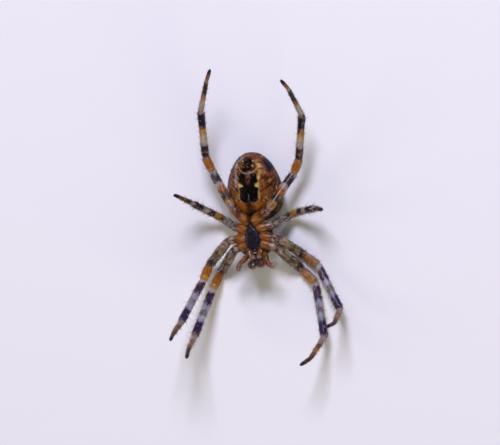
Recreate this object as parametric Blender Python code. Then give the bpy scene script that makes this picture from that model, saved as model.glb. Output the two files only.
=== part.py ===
"""Orb weaver spider, a still life-size model that lies on its back with its legs drawn up.

Frame: metres, +Z up. The belly faces up. The origin is the middle of the flat on which the
abdomen's back rests. +Y runs to the tail end, -Y to the head, and -X is the spider's left.
The sizes below are millimetres and degrees; finish() turns each finished mesh to metres.
"""

import math

import bmesh
import bpy
from mathutils import Matrix, Vector
from mathutils.bvhtree import BVHTree

MM = 0.001
GAP = 0.04                   # thin parting cut between two neighbouring pieces

# Abdomen: an egg along Y, blunt at the shoulders and narrower at the tail
ABDOMEN_WIDEST_Y = 0.1
ABDOMEN_FRONT = 2.45         # from the widest section to the front end
ABDOMEN_REAR = 4.0           # from the widest section to the tail end
ABDOMEN_HALF_WIDTH = 2.72
ABDOMEN_MIDDLE_Z = 1.75      # height of the widest line above the floor
BELLY_RISE = 3.08            # from the widest line up to the belly
BACK_DROP = 1.86             # from the widest line down; what passes the floor becomes the flat
BELLY_POWER = 1.75           # of the cross-section; under 2, so the belly is narrower than the back
BACK_POWER = 2.1
ABDOMEN_BOWS = {             # how blunt each outline is towards the front and towards the tail
    "width": (3.2, 1.75),
    "belly": (2.1, 2.4),
    "back": (2.6, 2.4),
}
SHOULDER_LEAN = 0.38         # how far the back's front end hangs forward of the pedicel
TAIL_LIFT = 0.5              # how far the tail end stands above the widest line
TAIL_SWAY = -0.1             # how far the tail end swings to the spider's left
ABDOMEN_SIDES = 24
ABDOMEN_RINGS = 15

# Spinnerets: a low mound of four cones on the belly
SPINNERETS = (-0.05, 2.65)
SPINNERET_RINGS = ((0.0, 0.5), (0.14, 0.53), (0.28, 0.47), (0.42, 0.33), (0.5, 0.15))  # height, radius
SPINNERET_CONES = 4
CONE_DEPTH = 0.12            # how far the four cones part, as a share of the radius
SPINNERET_LEAN = 0.35        # towards the tail, per unit of height
BELLY_SLOPE = 0.22           # of the belly under the mound

# Prosoma: the head and thorax, along an axis that is turned a little off the abdomen's
PROSOMA_REAR = Vector((-0.14, -2.5, 0.0))
PROSOMA_TURN = 6.0           # degrees from -Y towards +X
CARAPACE_SPAN = (0.32, 4.3)  # along the prosoma's axis, from its rear
CARAPACE_TOP_Z = 2.86        # plane on which the coxae and the sternum sit
CARAPACE_MARGIN = 0.1        # rim of the shield beyond the thorax and the head
THORAX_HALF_WIDTH = 1.74
THORAX_MIDDLE = 0.37         # share of the length at which the thorax is widest
THORAX_REACH = 0.43          # share of the length from there to its ends
HEAD_HALF_WIDTH = 0.8
HEAD_FROM = 0.7              # share of the length from which the head narrows
CARAPACE_DEPTHS = (0.98, 1.3)  # at the rear and at the head
CARAPACE_SIDES = 24
STERNUM_SPAN = (0.5, 2.66)
STERNUM_Z = (2.92, 4.05)
STERNUM_HALF_WIDTH = 0.68
STERNUM_WIDEST = 0.58        # share of its length
STERNUM_DOME = 0.12
PEDICEL_RADIUS = 0.26
PEDICEL_Z = 2.75
PEDICEL_DROP = 0.3           # from the prosoma to the abdomen
PEDICEL_OUTLINE = ((0.0, 0.9), (0.35, 1.0), (0.7, 1.0), (1.0, 0.85))  # share of length, of radius

# Mouthparts and palps, in the prosoma's (along, aside, height)
LABIUM_SPAN = (2.74, 3.2)
LABIUM_OUTLINE = ((0.0, 0.9), (0.4, 1.0), (0.8, 0.85), (1.0, 0.5))    # share of length, of size
LABIUM_HALF = (0.2, 0.45, 3.5)       # half width, half height, middle height
MAXILLA_SPAN = (2.74, 3.62)
MAXILLA_OUTLINE = ((0.0, 0.75), (0.25, 0.95), (0.6, 1.0), (0.85, 0.85), (1.0, 0.6))
MAXILLA_INNER = (0.24, 0.1)          # distance from the middle line, behind and at the tip
MAXILLA_WIDTH = 0.44
MAXILLA_HALF = (0.52, 3.48)          # half height, middle height
CHELICERA_RADIUS = 0.41
CHELICERA_PATH = ((2.92, 4.02, 0.74), (3.15, 4.16, 0.97), (3.5, 4.3, 1.0), (3.85, 4.34, 0.97),
                  (4.15, 4.3, 0.84), (4.33, 4.24, 0.55))              # height, along, share of radius
FANG_RADIUS = 0.09
FANG_PATH = ((4.12, 0.62, 4.42, 0.9), (3.98, 0.5, 4.5, 1.0), (3.86, 0.33, 4.49, 0.8),
             (3.8, 0.16, 4.42, 0.35))                                 # along, aside, height, share
PALP_RADIUS = 0.27
PALP_SHARES = {"arm": (0.7, 0.95, 0.95), "tip": (0.9, 1.0, 0.95, 0.5)}
PALP_PATHS = {               # the right one curls outwards and back, the left one points ahead
    "left": {"arm": ((3.2, 0.8, 3.5), (3.46, 1.12, 3.42), (3.68, 1.4, 3.5)),
             "tip": ((3.72, 1.45, 3.53), (3.97, 1.72, 3.64), (4.25, 1.84, 3.82), (4.5, 1.84, 4.0))},
    "right": {"arm": ((3.2, 0.8, 3.6), (3.68, 1.02, 3.88), (4.15, 1.12, 4.06)),
              "tip": ((4.19, 1.14, 4.08), (4.48, 1.38, 4.2), (4.5, 1.8, 4.34), (4.24, 2.02, 4.45))},
}

# Eyes: domes on the head's front, (aside, height, radius, turn outwards, turn up the forehead)
EYE_SUNK = 0.25              # share of its radius by which an eye's base lies below its middle
EYES = {
    "front_middle": (0.19, 2.36, 0.115, 12, 0),
    "rear_middle": (0.17, 1.98, 0.11, 15, -40),
    "front_side": (0.66, 2.34, 0.085, 45, 5),
    "rear_side": (0.72, 2.14, 0.085, 60, -25),
}

# Legs by pair: lengths of coxa with trochanter, femur, patella, tibia, metatarsus and tarsus
LEG_LENGTHS = {
    1: (1.50, 4.20, 1.95, 5.40, 4.15, 1.35),
    2: (1.68, 4.10, 1.80, 5.05, 3.75, 1.25),
    3: (1.50, 2.65, 1.10, 2.65, 2.20, 0.95),
    4: (1.90, 4.40, 1.65, 4.55, 3.60, 1.20),
}
LEG_RADII = {                # coxa, femur, patella, tibia and metatarsus
    1: (0.42, 0.48, 0.44, 0.41, 0.29),
    2: (0.42, 0.48, 0.43, 0.40, 0.29),
    3: (0.48, 0.42, 0.38, 0.36, 0.27),
    4: (0.50, 0.45, 0.42, 0.39, 0.28),
}
TARSUS_RADIUS = 0.25
LEG_ROOTS = {                # along the prosoma, aside from its axis, height
    1: (2.24, 0.64, 3.45),
    2: (1.58, 0.74, 3.50),
    3: (0.87, 0.54, 3.50),
    4: (0.09, 0.30, 3.62),
}
LEG_POSE = {                 # heading from +X and rise above level of each length, in degrees
    (1, "left"): ((-166, -11), (-135, -42), (-109, 40), (-107, 31), (-76, 72), (-82, 58)),
    (1, "right"): ((-19, 1), (-53, -48), (-42, 17), (-81, 10), (-107, 61), (-144, 42)),
    (2, "left"): ((-176, 4), (-139, -33), (-105, 38), (-114, 32), (-85, 74), (-90, 63)),
    (2, "right"): ((-11, 3), (-45, -53), (-34, 20), (-63, 13), (-80, 71), (-148, 62)),
    (3, "left"): ((160, -8), (153, -52), (144, 46), (145, 43), (138, 63), (144, 62)),
    (3, "right"): ((12, -8), (34, -55), (16, 36), (7, 41), (-4, 61), (-8, 64)),
    (4, "left"): ((133, 18), (120, -15), (105, 30), (89, 16), (67, 31), (64, 21)),
    (4, "right"): ((32, 16), (55, -20), (60, 26), (78, 20), (103, 44), (121, 37)),
}
SIDES = {"left": -1, "right": 1}
LEG_SIDES = 12
SLANT_ROOM = 1.15            # how far past a slanted end ring the next ring starts, in radii

# Outline of each leg part: fraction of its length, fraction of its radius
COXA_OUTLINE = ((0.0, 0.74), (0.3, 0.92), (0.6, 1.0), (0.74, 0.86), (0.84, 0.94), (1.0, 0.8))
FEMUR_OUTLINE = ((0.0, 0.72), (0.1, 0.9), (0.35, 1.0), (0.7, 1.0), (0.89, 0.97), (1.0, 0.86))
PATELLA_OUTLINE = ((0.0, 0.86), (0.2, 1.0), (0.8, 1.0), (1.0, 0.86))
TIBIA_OUTLINE = ((0.0, 0.86), (0.12, 0.98), (0.5, 0.96), (0.88, 1.0), (1.0, 0.84))
METATARSUS_OUTLINE = ((0.0, 0.95), (0.12, 1.0), (0.6, 0.9), (1.0, 0.86))
TARSUS_OUTLINE = ((0.0, 0.98), (0.25, 1.0), (0.75, 0.95), (0.93, 0.6), (1.0, 0.28))

COLOURS = {                  # linear colour and roughness of each finish
    "cuticle_brown": ((0.24, 0.11, 0.035), 0.5),
    "shell_orange": ((0.45, 0.16, 0.02), 0.3),
    "shell_dark": ((0.02, 0.012, 0.014), 0.25),
    "leg_banded": ((0.35, 0.22, 0.11), 0.45),
    "eye_black": ((0.004, 0.004, 0.005), 0.05),
}


def clear_scene():
    for item in list(bpy.data.objects):
        bpy.data.objects.remove(item)


def collection(name):
    made = bpy.data.collections.new(name)
    bpy.context.scene.collection.children.link(made)
    return made


def finishes():
    made = {}
    for name, (colour, roughness) in COLOURS.items():
        material = bpy.data.materials.new(name)
        material.use_nodes = True
        shader = material.node_tree.nodes["Principled BSDF"]
        shader.inputs["Base Color"].default_value = (*colour, 1.0)
        shader.inputs["Roughness"].default_value = roughness
        made[name] = material
    return made


def mix(low, high, share):
    return low + (high - low) * share


def bow(share, power):
    """Half of a rounded outline: 1 at the middle and 0 at the end, blunter for a higher power."""
    return math.sqrt(max(0.0, 1.0 - min(1.0, share) ** power))


def heading(degrees, rise):
    level = math.cos(math.radians(rise))
    turn = math.radians(degrees)
    return Vector((level * math.cos(turn), level * math.sin(turn), math.sin(math.radians(rise))))


def prosoma_place(along, aside, height):
    turn = math.radians(PROSOMA_TURN)
    forward = Vector((math.sin(turn), -math.cos(turn), 0.0))
    outward = Vector((math.cos(turn), math.sin(turn), 0.0))
    return PROSOMA_REAR + forward * along + outward * aside + Vector((0.0, 0.0, height))


def swept(points, radii, sides=LEG_SIDES, ends=None):
    """Closed tube: a circle carried along the points, turned and scaled from ring to ring.

    ends gives the directions that the first and last ring face, where they are cut at a slant.
    """
    runs = [(b - a).normalized() for a, b in zip(points, points[1:])]
    first, last = ends or (runs[0], runs[-1])
    tangents = [first] + [(a + b).normalized() for a, b in zip(runs, runs[1:])] + [last]
    turn = Vector((0.0, 0.0, 1.0)).rotation_difference(tangents[0])
    bm = bmesh.new()
    place = Matrix.Translation(points[0]) @ turn.to_matrix().to_4x4() @ Matrix.Scale(radii[0], 4)
    made = bmesh.ops.create_circle(bm, segments=sides, radius=1.0, matrix=place)
    rim = list({edge for vert in made["verts"] for edge in vert.link_edges})
    for point, radius, before, after in zip(points[1:], radii[1:], tangents, tangents[1:]):
        turn = before.rotation_difference(after) @ turn
        new_place = Matrix.Translation(point) @ turn.to_matrix().to_4x4() @ Matrix.Scale(radius, 4)
        grown = bmesh.ops.extrude_edge_only(bm, edges=rim)["geom"]
        verts = [item for item in grown if isinstance(item, bmesh.types.BMVert)]
        rim = [item for item in grown if isinstance(item, bmesh.types.BMEdge)]
        bmesh.ops.transform(bm, matrix=new_place @ place.inverted(), verts=verts)
        place = new_place
    bmesh.ops.holes_fill(bm, edges=bm.edges, sides=0)
    return bm


def lofted(stations, sides, section):
    """Closed body of rings: section(station, angle) places each point of each ring."""
    bm = bmesh.new()
    angle = bm.verts.layers.float.new("angle")
    verts = bmesh.ops.create_circle(bm, segments=sides, radius=1.0)["verts"]
    rim = list({edge for vert in verts for edge in vert.link_edges})
    for vert in verts:
        vert[angle] = math.atan2(vert.co.y, vert.co.x)
    for number, station in enumerate(stations):
        if number:
            grown = bmesh.ops.extrude_edge_only(bm, edges=rim)["geom"]
            verts = [item for item in grown if isinstance(item, bmesh.types.BMVert)]
            rim = [item for item in grown if isinstance(item, bmesh.types.BMEdge)]
        for vert in verts:
            vert.co = section(station, vert[angle])
    bmesh.ops.holes_fill(bm, edges=bm.edges, sides=0)
    return bm


def round_power(angle, power):
    """Point of a unit superellipse: 2 is a circle, more is squarer, less is leaner."""
    across = math.cos(angle)
    up = math.sin(angle)
    return (math.copysign(abs(across) ** (2.0 / power), across),
            math.copysign(abs(up) ** (2.0 / power), up))


def finish(bm, name, material, group, parent=None):
    """Rest the form on the floor, and make it a named object with its origin at its middle."""
    for vert in bm.verts:
        vert.co.z = max(vert.co.z, 0.0)
    bmesh.ops.recalc_face_normals(bm, faces=bm.faces)
    middle = sum((vert.co for vert in bm.verts), Vector()) / len(bm.verts)
    bmesh.ops.translate(bm, verts=bm.verts, vec=-middle)
    bmesh.ops.scale(bm, verts=bm.verts, vec=(MM, MM, MM))
    mesh = bpy.data.meshes.new(name)
    bm.to_mesh(mesh)
    bm.free()
    mesh.shade_smooth()
    mesh.set_sharp_from_angle(angle=math.radians(50))
    mesh.materials.append(material)
    made = bpy.data.objects.new(name, mesh)
    group.objects.link(made)
    made.location = middle * MM
    made.parent = parent
    return made


def surface_at(made, start, direction):
    """Where a ray from outside meets a finished object, and the surface's outward direction."""
    mesh = made.data
    verts = [(vert.co + made.location) / MM for vert in mesh.vertices]
    tree = BVHTree.FromPolygons(verts, [tuple(face.vertices) for face in mesh.polygons])
    place, normal, _, _ = tree.ray_cast(start, direction)
    return place, normal


def steps(low, high, count):
    return [mix(low, high, number / (count - 1)) for number in range(count)]


def eased(low, high, count):
    """Steps that crowd towards both ends, where a rounded outline turns fastest."""
    return [mix(low, high, 0.5 - 0.5 * math.cos(math.pi * share)) for share in steps(0.0, 1.0, count)]


def make_abdomen(group, look):
    front_end = ABDOMEN_WIDEST_Y - ABDOMEN_FRONT
    tail_end = ABDOMEN_WIDEST_Y + ABDOMEN_REAR

    def section(y, angle):
        forward = max(0.0, ABDOMEN_WIDEST_Y - y) / ABDOMEN_FRONT
        rearward = max(0.0, y - ABDOMEN_WIDEST_Y) / ABDOMEN_REAR
        share = {name: bow(forward, front) * bow(rearward, rear)
                 for name, (front, rear) in ABDOMEN_BOWS.items()}
        across, up = round_power(angle, BELLY_POWER if angle > 0.0 else BACK_POWER)
        reach = BELLY_RISE * share["belly"] if up > 0.0 else BACK_DROP * share["back"]
        lean = SHOULDER_LEAN * forward * max(0.0, -up)
        return Vector((ABDOMEN_HALF_WIDTH * share["width"] * across + TAIL_SWAY * rearward, y - lean,
                       ABDOMEN_MIDDLE_Z + TAIL_LIFT * rearward ** 2 + up * reach))

    rings = eased(front_end + GAP / 2.0, tail_end - GAP / 2.0, ABDOMEN_RINGS)
    return finish(lofted(rings, ABDOMEN_SIDES, section), "abdomen", look["cuticle_brown"], group)


def make_spinnerets(group, look, abdomen):
    """A low dark mound of four cones that lean to the tail."""
    above = Vector((*SPINNERETS, 2.0 * ABDOMEN_MIDDLE_Z + BELLY_RISE))
    centre, _ = surface_at(abdomen, above, Vector((0.0, 0.0, -1.0)))
    mound = centre + Vector((0.0, 0.0, GAP))

    def section(station, angle):
        rise, radius = station
        petals = 1.0 + CONE_DEPTH * math.cos(SPINNERET_CONES * angle - math.pi)
        across = radius * petals * math.cos(angle)
        along = radius * petals * math.sin(angle)
        return mound + Vector((across, along + SPINNERET_LEAN * rise, rise - BELLY_SLOPE * along))

    finish(lofted(SPINNERET_RINGS, 16, section), "spinnerets", look["shell_dark"], group)


def make_pedicel(group, look):
    rear = prosoma_place(CARAPACE_SPAN[0] - GAP, 0.0, PEDICEL_Z)
    front = Vector((rear.x, ABDOMEN_WIDEST_Y - ABDOMEN_FRONT - GAP / 2.0, PEDICEL_Z - PEDICEL_DROP))
    path = [mix(rear, front, share) for share, _ in PEDICEL_OUTLINE]
    radii = [PEDICEL_RADIUS * size for _, size in PEDICEL_OUTLINE]
    return finish(swept(path, radii, 10), "pedicel", look["cuticle_brown"], group)


def make_carapace(group, look):
    """Pear-shaped shield: a broad thorax, and a narrower, deeper head in front."""
    rear, front = CARAPACE_SPAN

    def section(along, angle):
        share = (along - rear) / (front - rear)
        headward = bow(max(0.0, share - HEAD_FROM) / (1.01 - HEAD_FROM), 3.0)
        thorax = THORAX_HALF_WIDTH * bow(abs(share - THORAX_MIDDLE) / THORAX_REACH, 2.3)
        head = HEAD_HALF_WIDTH * headward * min(1.0, 3.0 * share)
        width = max(thorax, head) + CARAPACE_MARGIN
        depth = mix(*CARAPACE_DEPTHS, min(1.0, share / HEAD_FROM)) * headward
        depth *= bow(max(0.0, 0.4 - share) / 0.44, 2.4)
        across, up = round_power(angle, 2.4)
        rise = up * (CARAPACE_MARGIN if up > 0.0 else depth + CARAPACE_MARGIN / 2.0)
        return prosoma_place(along, width * across, CARAPACE_TOP_Z - CARAPACE_MARGIN + rise)

    bm = lofted(eased(rear, front, 15), CARAPACE_SIDES, section)
    return finish(bm, "carapace", look["cuticle_brown"], group)


def make_sternum(group, look):
    """Heart-shaped plate between the coxae, deep enough to meet the carapace's plane."""
    rear, front = STERNUM_SPAN
    low, high = STERNUM_Z
    middle = mix(low, high - STERNUM_DOME, 0.5)
    half = middle - low

    def section(along, angle):
        share = (along - rear) / (front - rear)
        width = STERNUM_HALF_WIDTH * bow(max(0.0, STERNUM_WIDEST - share) / 0.6, 1.25)
        width *= bow(max(0.0, share - STERNUM_WIDEST) / 0.56, 2.6)
        across, up = round_power(angle, 3.0)
        dome = STERNUM_DOME * max(0.0, up) * (1.0 - across ** 2) * bow(abs(2.0 * share - 1.0), 2.0)
        return prosoma_place(along, (width + GAP) * across, middle + half * up + dome)

    finish(lofted(steps(rear, front, 9), 16, section), "sternum", look["shell_dark"], group)


def make_mouthparts(group, look):
    rear, front = LABIUM_SPAN
    half_width, half_height, middle = LABIUM_HALF

    def lip(station, angle):
        share, size = station
        across, up = round_power(angle, 2.6)
        return prosoma_place(mix(rear, front, share), half_width * size * across,
                             middle + half_height * up * size)

    finish(lofted(LABIUM_OUTLINE, 10, lip), "labium", look["shell_dark"], group)
    for side, sign in SIDES.items():
        def lobe(station, angle):
            share, size = station
            across, up = round_power(angle, 2.6)
            inner = mix(*MAXILLA_INNER, max(0.0, share - 0.4))
            half = MAXILLA_WIDTH * size / 2.0
            tall, level = MAXILLA_HALF
            return prosoma_place(mix(*MAXILLA_SPAN, share), sign * (inner + half + half * across),
                                 level + tall * up * size)

        finish(lofted(MAXILLA_OUTLINE, 12, lobe), f"maxilla_{side}", look["shell_orange"], group)


def make_jaws(group, look):
    """Chelicerae that hang down from the brow, towards the belly side, with the fangs folded in."""
    for side, sign in SIDES.items():
        aside = sign * (CHELICERA_RADIUS + GAP / 2.0)
        path = [prosoma_place(along, aside, height) for height, along, _ in CHELICERA_PATH]
        radii = [CHELICERA_RADIUS * share for _, _, share in CHELICERA_PATH]
        finish(swept(path, radii, 14), f"chelicera_{side}", look["cuticle_brown"], group)
        path = [prosoma_place(along, sign * out, height) for along, out, height, _ in FANG_PATH]
        radii = [FANG_RADIUS * share for _, _, _, share in FANG_PATH]
        finish(swept(path, radii, 8), f"fang_{side}", look["shell_dark"], group)


def make_eyes(group, look, carapace):
    """Each eye is a dome whose flat base lies just off the head's surface."""
    for row, (aside, height, radius, outwards, upwards) in EYES.items():
        for side, sign in SIDES.items():
            look_out = heading(PROSOMA_TURN - 90.0 + sign * outwards, upwards)
            inside = prosoma_place(CARAPACE_SPAN[1], sign * aside, height) - look_out
            place, _ = surface_at(carapace, inside + look_out * CARAPACE_SPAN[1], -look_out)
            bm = bmesh.new()
            bmesh.ops.create_uvsphere(bm, u_segments=10, v_segments=7, radius=radius)
            everything = bm.verts[:] + bm.edges[:] + bm.faces[:]
            bmesh.ops.bisect_plane(bm, geom=everything, plane_co=(0.0, 0.0, -EYE_SUNK * radius),
                                   plane_no=(0.0, 0.0, -1.0), clear_outer=True)
            bmesh.ops.holes_fill(bm, edges=bm.edges, sides=0)
            spin = Vector((0.0, 0.0, 1.0)).rotation_difference(look_out).to_matrix().to_4x4()
            centre = place + look_out * (EYE_SUNK * radius + GAP / 2.0)
            bmesh.ops.transform(bm, matrix=Matrix.Translation(centre) @ spin, verts=bm.verts)
            finish(bm, f"eye_{row}_{side}", look["eye_black"], group)


def make_palps(group, look):
    """Feelers beside the jaws, each of an arm and a tip."""
    for side, parts in PALP_PATHS.items():
        for part, places in parts.items():
            path = [prosoma_place(along, SIDES[side] * out, height) for along, out, height in places]
            radii = [PALP_RADIUS * share for share in PALP_SHARES[part]]
            finish(swept(path, radii, 10), f"palp_{part}_{side}", look["leg_banded"], group)


def leg_joints(pair, side):
    """The leg's joints, from where it leaves the body to the claws."""
    along, aside, height = LEG_ROOTS[pair]
    joints = [prosoma_place(along, SIDES[side] * aside, height)]
    for length, (turn, rise) in zip(LEG_LENGTHS[pair], LEG_POSE[pair, side]):
        joints.append(joints[-1] + heading(turn, rise) * length)
    return joints


def slants(joints):
    """Direction halfway round the bend at each joint, which two neighbouring parts both face."""
    runs = [(b - a).normalized() for a, b in zip(joints, joints[1:])]
    return [runs[0]] + [(a + b).normalized() for a, b in zip(runs, runs[1:])] + [runs[-1]]


def under_slant(point, joints, ends, radius):
    """Whether a ring at the point would cross a slanted end ring, as it may at a sharp knee."""
    for joint, face, inward in ((joints[0], ends[0], joints[1]), (joints[-1], ends[1], joints[-2])):
        run = (inward - joint).normalized()
        reach = SLANT_ROOM * radius * math.tan(run.angle(face) if run.dot(face) > 0.0 else run.angle(-face))
        if (point - joint).length < reach:
            return True
    return False


def leg_part(joints, ends, outlines, radii):
    """Tube along one or two lengths of a leg, parted from its neighbours by half the gap."""
    points = []
    sizes = []
    for start, end, outline, radius in zip(joints, joints[1:], outlines, radii):
        for share, size in outline:
            point = mix(start, end, share)
            if points and share == 0.0 or 0.0 < share < 1.0 and under_slant(point, joints, ends, radius):
                continue
            points.append(point)
            sizes.append(radius * size)
    points[0] = points[0] + ends[0] * (GAP / 2.0)
    points[-1] = points[-1] - ends[1] * (GAP / 2.0)
    return swept(points, sizes, ends=ends)


def make_legs(group, look):
    for (pair, side) in LEG_POSE:
        hub = bpy.data.objects.new(f"leg_{pair}_{side}", None)
        group.objects.link(hub)
        joints = leg_joints(pair, side)
        facing = slants(joints)
        coxa, femur, patella, tibia, foot = LEG_RADII[pair]
        parts = {
            "coxa": (0, 1, (COXA_OUTLINE,), (coxa,)),
            "femur": (1, 2, (FEMUR_OUTLINE,), (femur,)),
            "tibia": (2, 4, (PATELLA_OUTLINE, TIBIA_OUTLINE), (patella, tibia)),
            "foot": (4, 6, (METATARSUS_OUTLINE, TARSUS_OUTLINE), (foot, TARSUS_RADIUS)),
        }
        for part, (first, last, outlines, radii) in parts.items():
            ends = (facing[first], facing[last])
            bm = leg_part(joints[first:last + 1], ends, outlines, radii)
            finish(bm, f"leg_{pair}_{side}_{part}", look["leg_banded"], group, hub)


def main():
    clear_scene()
    group = collection("orb_weaver_spider")
    look = finishes()
    abdomen = make_abdomen(group, look)
    make_spinnerets(group, look, abdomen)
    make_pedicel(group, look)
    carapace = make_carapace(group, look)
    make_sternum(group, look)
    make_mouthparts(group, look)
    make_jaws(group, look)
    make_eyes(group, look, carapace)
    make_palps(group, look)
    make_legs(group, look)


main()
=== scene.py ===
"""Orb weaver spider: skin, plates, eyes, claws and coat of a still, life-size museum model.

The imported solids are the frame. The belly faces up (+Z), the tail end is +Y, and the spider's
left side is -X.
"""

import math
import random
from collections import namedtuple

import bmesh
import bpy
import numpy as np
from bpy.props import FloatProperty, FloatVectorProperty, IntProperty, PointerProperty
from mathutils import Matrix, Vector, noise


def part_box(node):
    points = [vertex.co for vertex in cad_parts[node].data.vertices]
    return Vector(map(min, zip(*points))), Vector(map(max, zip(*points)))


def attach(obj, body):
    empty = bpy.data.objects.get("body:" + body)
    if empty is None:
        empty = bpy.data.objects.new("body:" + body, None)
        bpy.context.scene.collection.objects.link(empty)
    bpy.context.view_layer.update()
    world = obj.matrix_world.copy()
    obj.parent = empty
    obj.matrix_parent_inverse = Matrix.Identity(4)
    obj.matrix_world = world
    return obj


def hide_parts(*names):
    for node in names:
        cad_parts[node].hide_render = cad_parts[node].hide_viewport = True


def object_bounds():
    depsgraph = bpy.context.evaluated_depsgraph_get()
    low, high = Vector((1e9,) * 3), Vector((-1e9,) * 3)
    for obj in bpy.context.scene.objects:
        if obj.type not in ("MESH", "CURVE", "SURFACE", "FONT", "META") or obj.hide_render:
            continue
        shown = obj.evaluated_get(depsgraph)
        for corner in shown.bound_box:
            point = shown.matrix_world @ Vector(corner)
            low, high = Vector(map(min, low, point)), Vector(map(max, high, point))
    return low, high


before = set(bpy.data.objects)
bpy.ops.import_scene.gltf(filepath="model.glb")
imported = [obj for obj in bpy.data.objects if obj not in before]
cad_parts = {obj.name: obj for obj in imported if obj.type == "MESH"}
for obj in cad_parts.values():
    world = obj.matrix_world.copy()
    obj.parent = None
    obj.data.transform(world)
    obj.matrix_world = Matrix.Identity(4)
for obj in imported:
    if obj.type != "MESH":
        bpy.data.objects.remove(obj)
CAD_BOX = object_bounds()

bl_info = {
    "name": "Orb weaver spider",
    "version": (1, 0, 0),
    "blender": (4, 5, 0),
    "location": "View3D > Sidebar > Spider",
    "description": "Builds the skin, plates, eyes, claws and coat of an orb weaver spider",
    "category": "Object",
}

MM = 0.001
TAU = 2.0 * math.pi
UP = Vector((0.0, 0.0, 1.0))
SIDES = {"left": -1, "right": 1}

# Prosoma: the head and thorax, along an axis that is turned a little off the abdomen's
PROSOMA_REAR = Vector((-0.14, -2.5, 0.0))
PROSOMA_TURN = 6.0

# Legs by pair: lengths of coxa with trochanter, femur, patella, tibia, metatarsus and tarsus
LEG_LENGTHS = {
    1: (1.50, 4.20, 1.95, 5.40, 4.15, 1.35),
    2: (1.68, 4.10, 1.80, 5.05, 3.75, 1.25),
    3: (1.50, 2.65, 1.10, 2.65, 2.20, 0.95),
    4: (1.90, 4.40, 1.65, 4.55, 3.60, 1.20),
}
LEG_ROOTS = {                # along the prosoma, aside from its axis, height
    1: (2.24, 0.64, 3.45),
    2: (1.58, 0.74, 3.50),
    3: (0.87, 0.54, 3.50),
    4: (0.09, 0.30, 3.62),
}
LEG_POSE = {                 # heading from +X and rise above level of each length, in degrees
    (1, "left"): ((-166, -11), (-135, -42), (-109, 40), (-107, 31), (-76, 72), (-82, 58)),
    (1, "right"): ((-19, 1), (-53, -48), (-42, 17), (-81, 10), (-107, 61), (-144, 42)),
    (2, "left"): ((-176, 4), (-139, -33), (-105, 38), (-114, 32), (-85, 74), (-90, 63)),
    (2, "right"): ((-11, 3), (-45, -53), (-34, 20), (-63, 13), (-80, 71), (-148, 62)),
    (3, "left"): ((160, -8), (153, -52), (144, 46), (145, 43), (138, 63), (144, 62)),
    (3, "right"): ((12, -8), (34, -55), (16, 36), (7, 41), (-4, 61), (-8, 64)),
    (4, "left"): ((133, 18), (120, -15), (105, 30), (89, 16), (67, 31), (64, 21)),
    (4, "right"): ((32, 16), (55, -20), (60, 26), (78, 20), (103, 44), (121, 37)),
}
LEG_RADII = {                # skin radius of coxa, femur, patella, tibia, metatarsus and tarsus
    1: (0.45, 0.455, 0.415, 0.375, 0.265, 0.19),
    2: (0.45, 0.455, 0.405, 0.37, 0.265, 0.185),
    3: (0.48, 0.39, 0.36, 0.33, 0.24, 0.18),
    4: (0.465, 0.425, 0.395, 0.355, 0.255, 0.185),
}
# Outline of each length of a leg: share of its length, share of its radius. Each ends in a rim.
LEG_OUTLINES = (
    ((0.0, 0.98), (0.1, 1.04), (0.27, 1.08), (0.5, 1.03), (0.62, 0.93), (0.68, 0.78), (0.73, 0.86),
     (0.88, 0.95), (1.0, 0.82)),
    ((0.0, 0.7), (0.03, 0.8), (0.14, 0.94), (0.34, 1.0), (0.6, 0.99), (0.84, 0.94), (0.95, 0.97),
     (0.985, 0.98), (1.0, 0.88)),
    ((0.0, 0.84), (0.07, 0.93), (0.3, 1.0), (0.7, 1.0), (0.93, 1.0), (1.0, 0.87)),
    ((0.0, 0.84), (0.02, 0.92), (0.1, 1.0), (0.3, 0.98), (0.52, 0.95), (0.8, 0.98), (0.96, 1.0),
     (1.0, 0.86)),
    ((0.0, 0.96), (0.02, 1.02), (0.1, 1.06), (0.3, 0.98), (0.55, 0.88), (0.95, 0.8), (1.0, 0.72)),
    ((0.0, 0.84), (0.04, 0.93), (0.2, 1.0), (0.7, 0.93), (0.92, 0.74), (1.0, 0.56)),
)
LEG_RELIEF = 0.016           # height of the unevenness of a leg's skin
KNEE_ROUND = 0.32            # distance from a joint at which the leg's middle line starts to bend
JOINT_FOLD = 0.16            # half length of the soft fold on the belly side of a joint
ROOT_DEPTH = 0.2             # how far a coxa starts inside the body
ROOT_ROUND, TIP_ROUND = 0.12, 0.1    # distances over which a leg's root and tip close
RING_STEP = 0.13             # mean distance between two rings of a leg
LEG_SIDES = 24

# Bands of colour: (where it starts, colour, mottling), counted in lengths of leg from its root
# In each table the rust at the coxa's root is partly mottling and partly painted shade where the coxa meets
# the body
BANDS_FRONT = (
    (0.0, "rust", 0.6), (0.12, "deep_orange", 0.4), (0.56, "rust", 0.5), (0.66, "umber", 0.3),
    (0.72, "rose_bone", 1.0), (0.9, "rose_brown", 0.9), (0.98, "plum_brown", 0.5), (1.05, "rose_bone", 1.0),
    (1.17, "olive_tan", 1.0), (1.44, "umber", 0.7), (1.55, "olive_tan", 1.0), (1.75, "plum_brown", 0.5),
    (1.87, "rose_brown", 0.6), (1.94, "rose_bone", 0.6), (2.0, "umber", 0.4), (2.1, "orange", 0.25),
    (2.82, "amber", 0.2), (3.0, "lilac_cream", 0.3), (3.1, "violet", 0.1), (3.2, "rust", 0.3),
    (3.23, "violet", 0.1), (3.35, "lilac_white", 0.35), (3.49, "ash", 0.6), (3.57, "lilac_white", 0.35),
    (3.7, "violet", 0.1), (4.0, "rose_bone", 0.4), (4.38, "rust", 0.3), (4.52, "orange", 0.5),
    (4.78, "rust", 0.4), (4.93, "umber", 0.3), (5.44, "rose_bone", 0.3), (5.53, "rust", 0.3),
    (5.64, "violet_black", 0.1),
)
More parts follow.
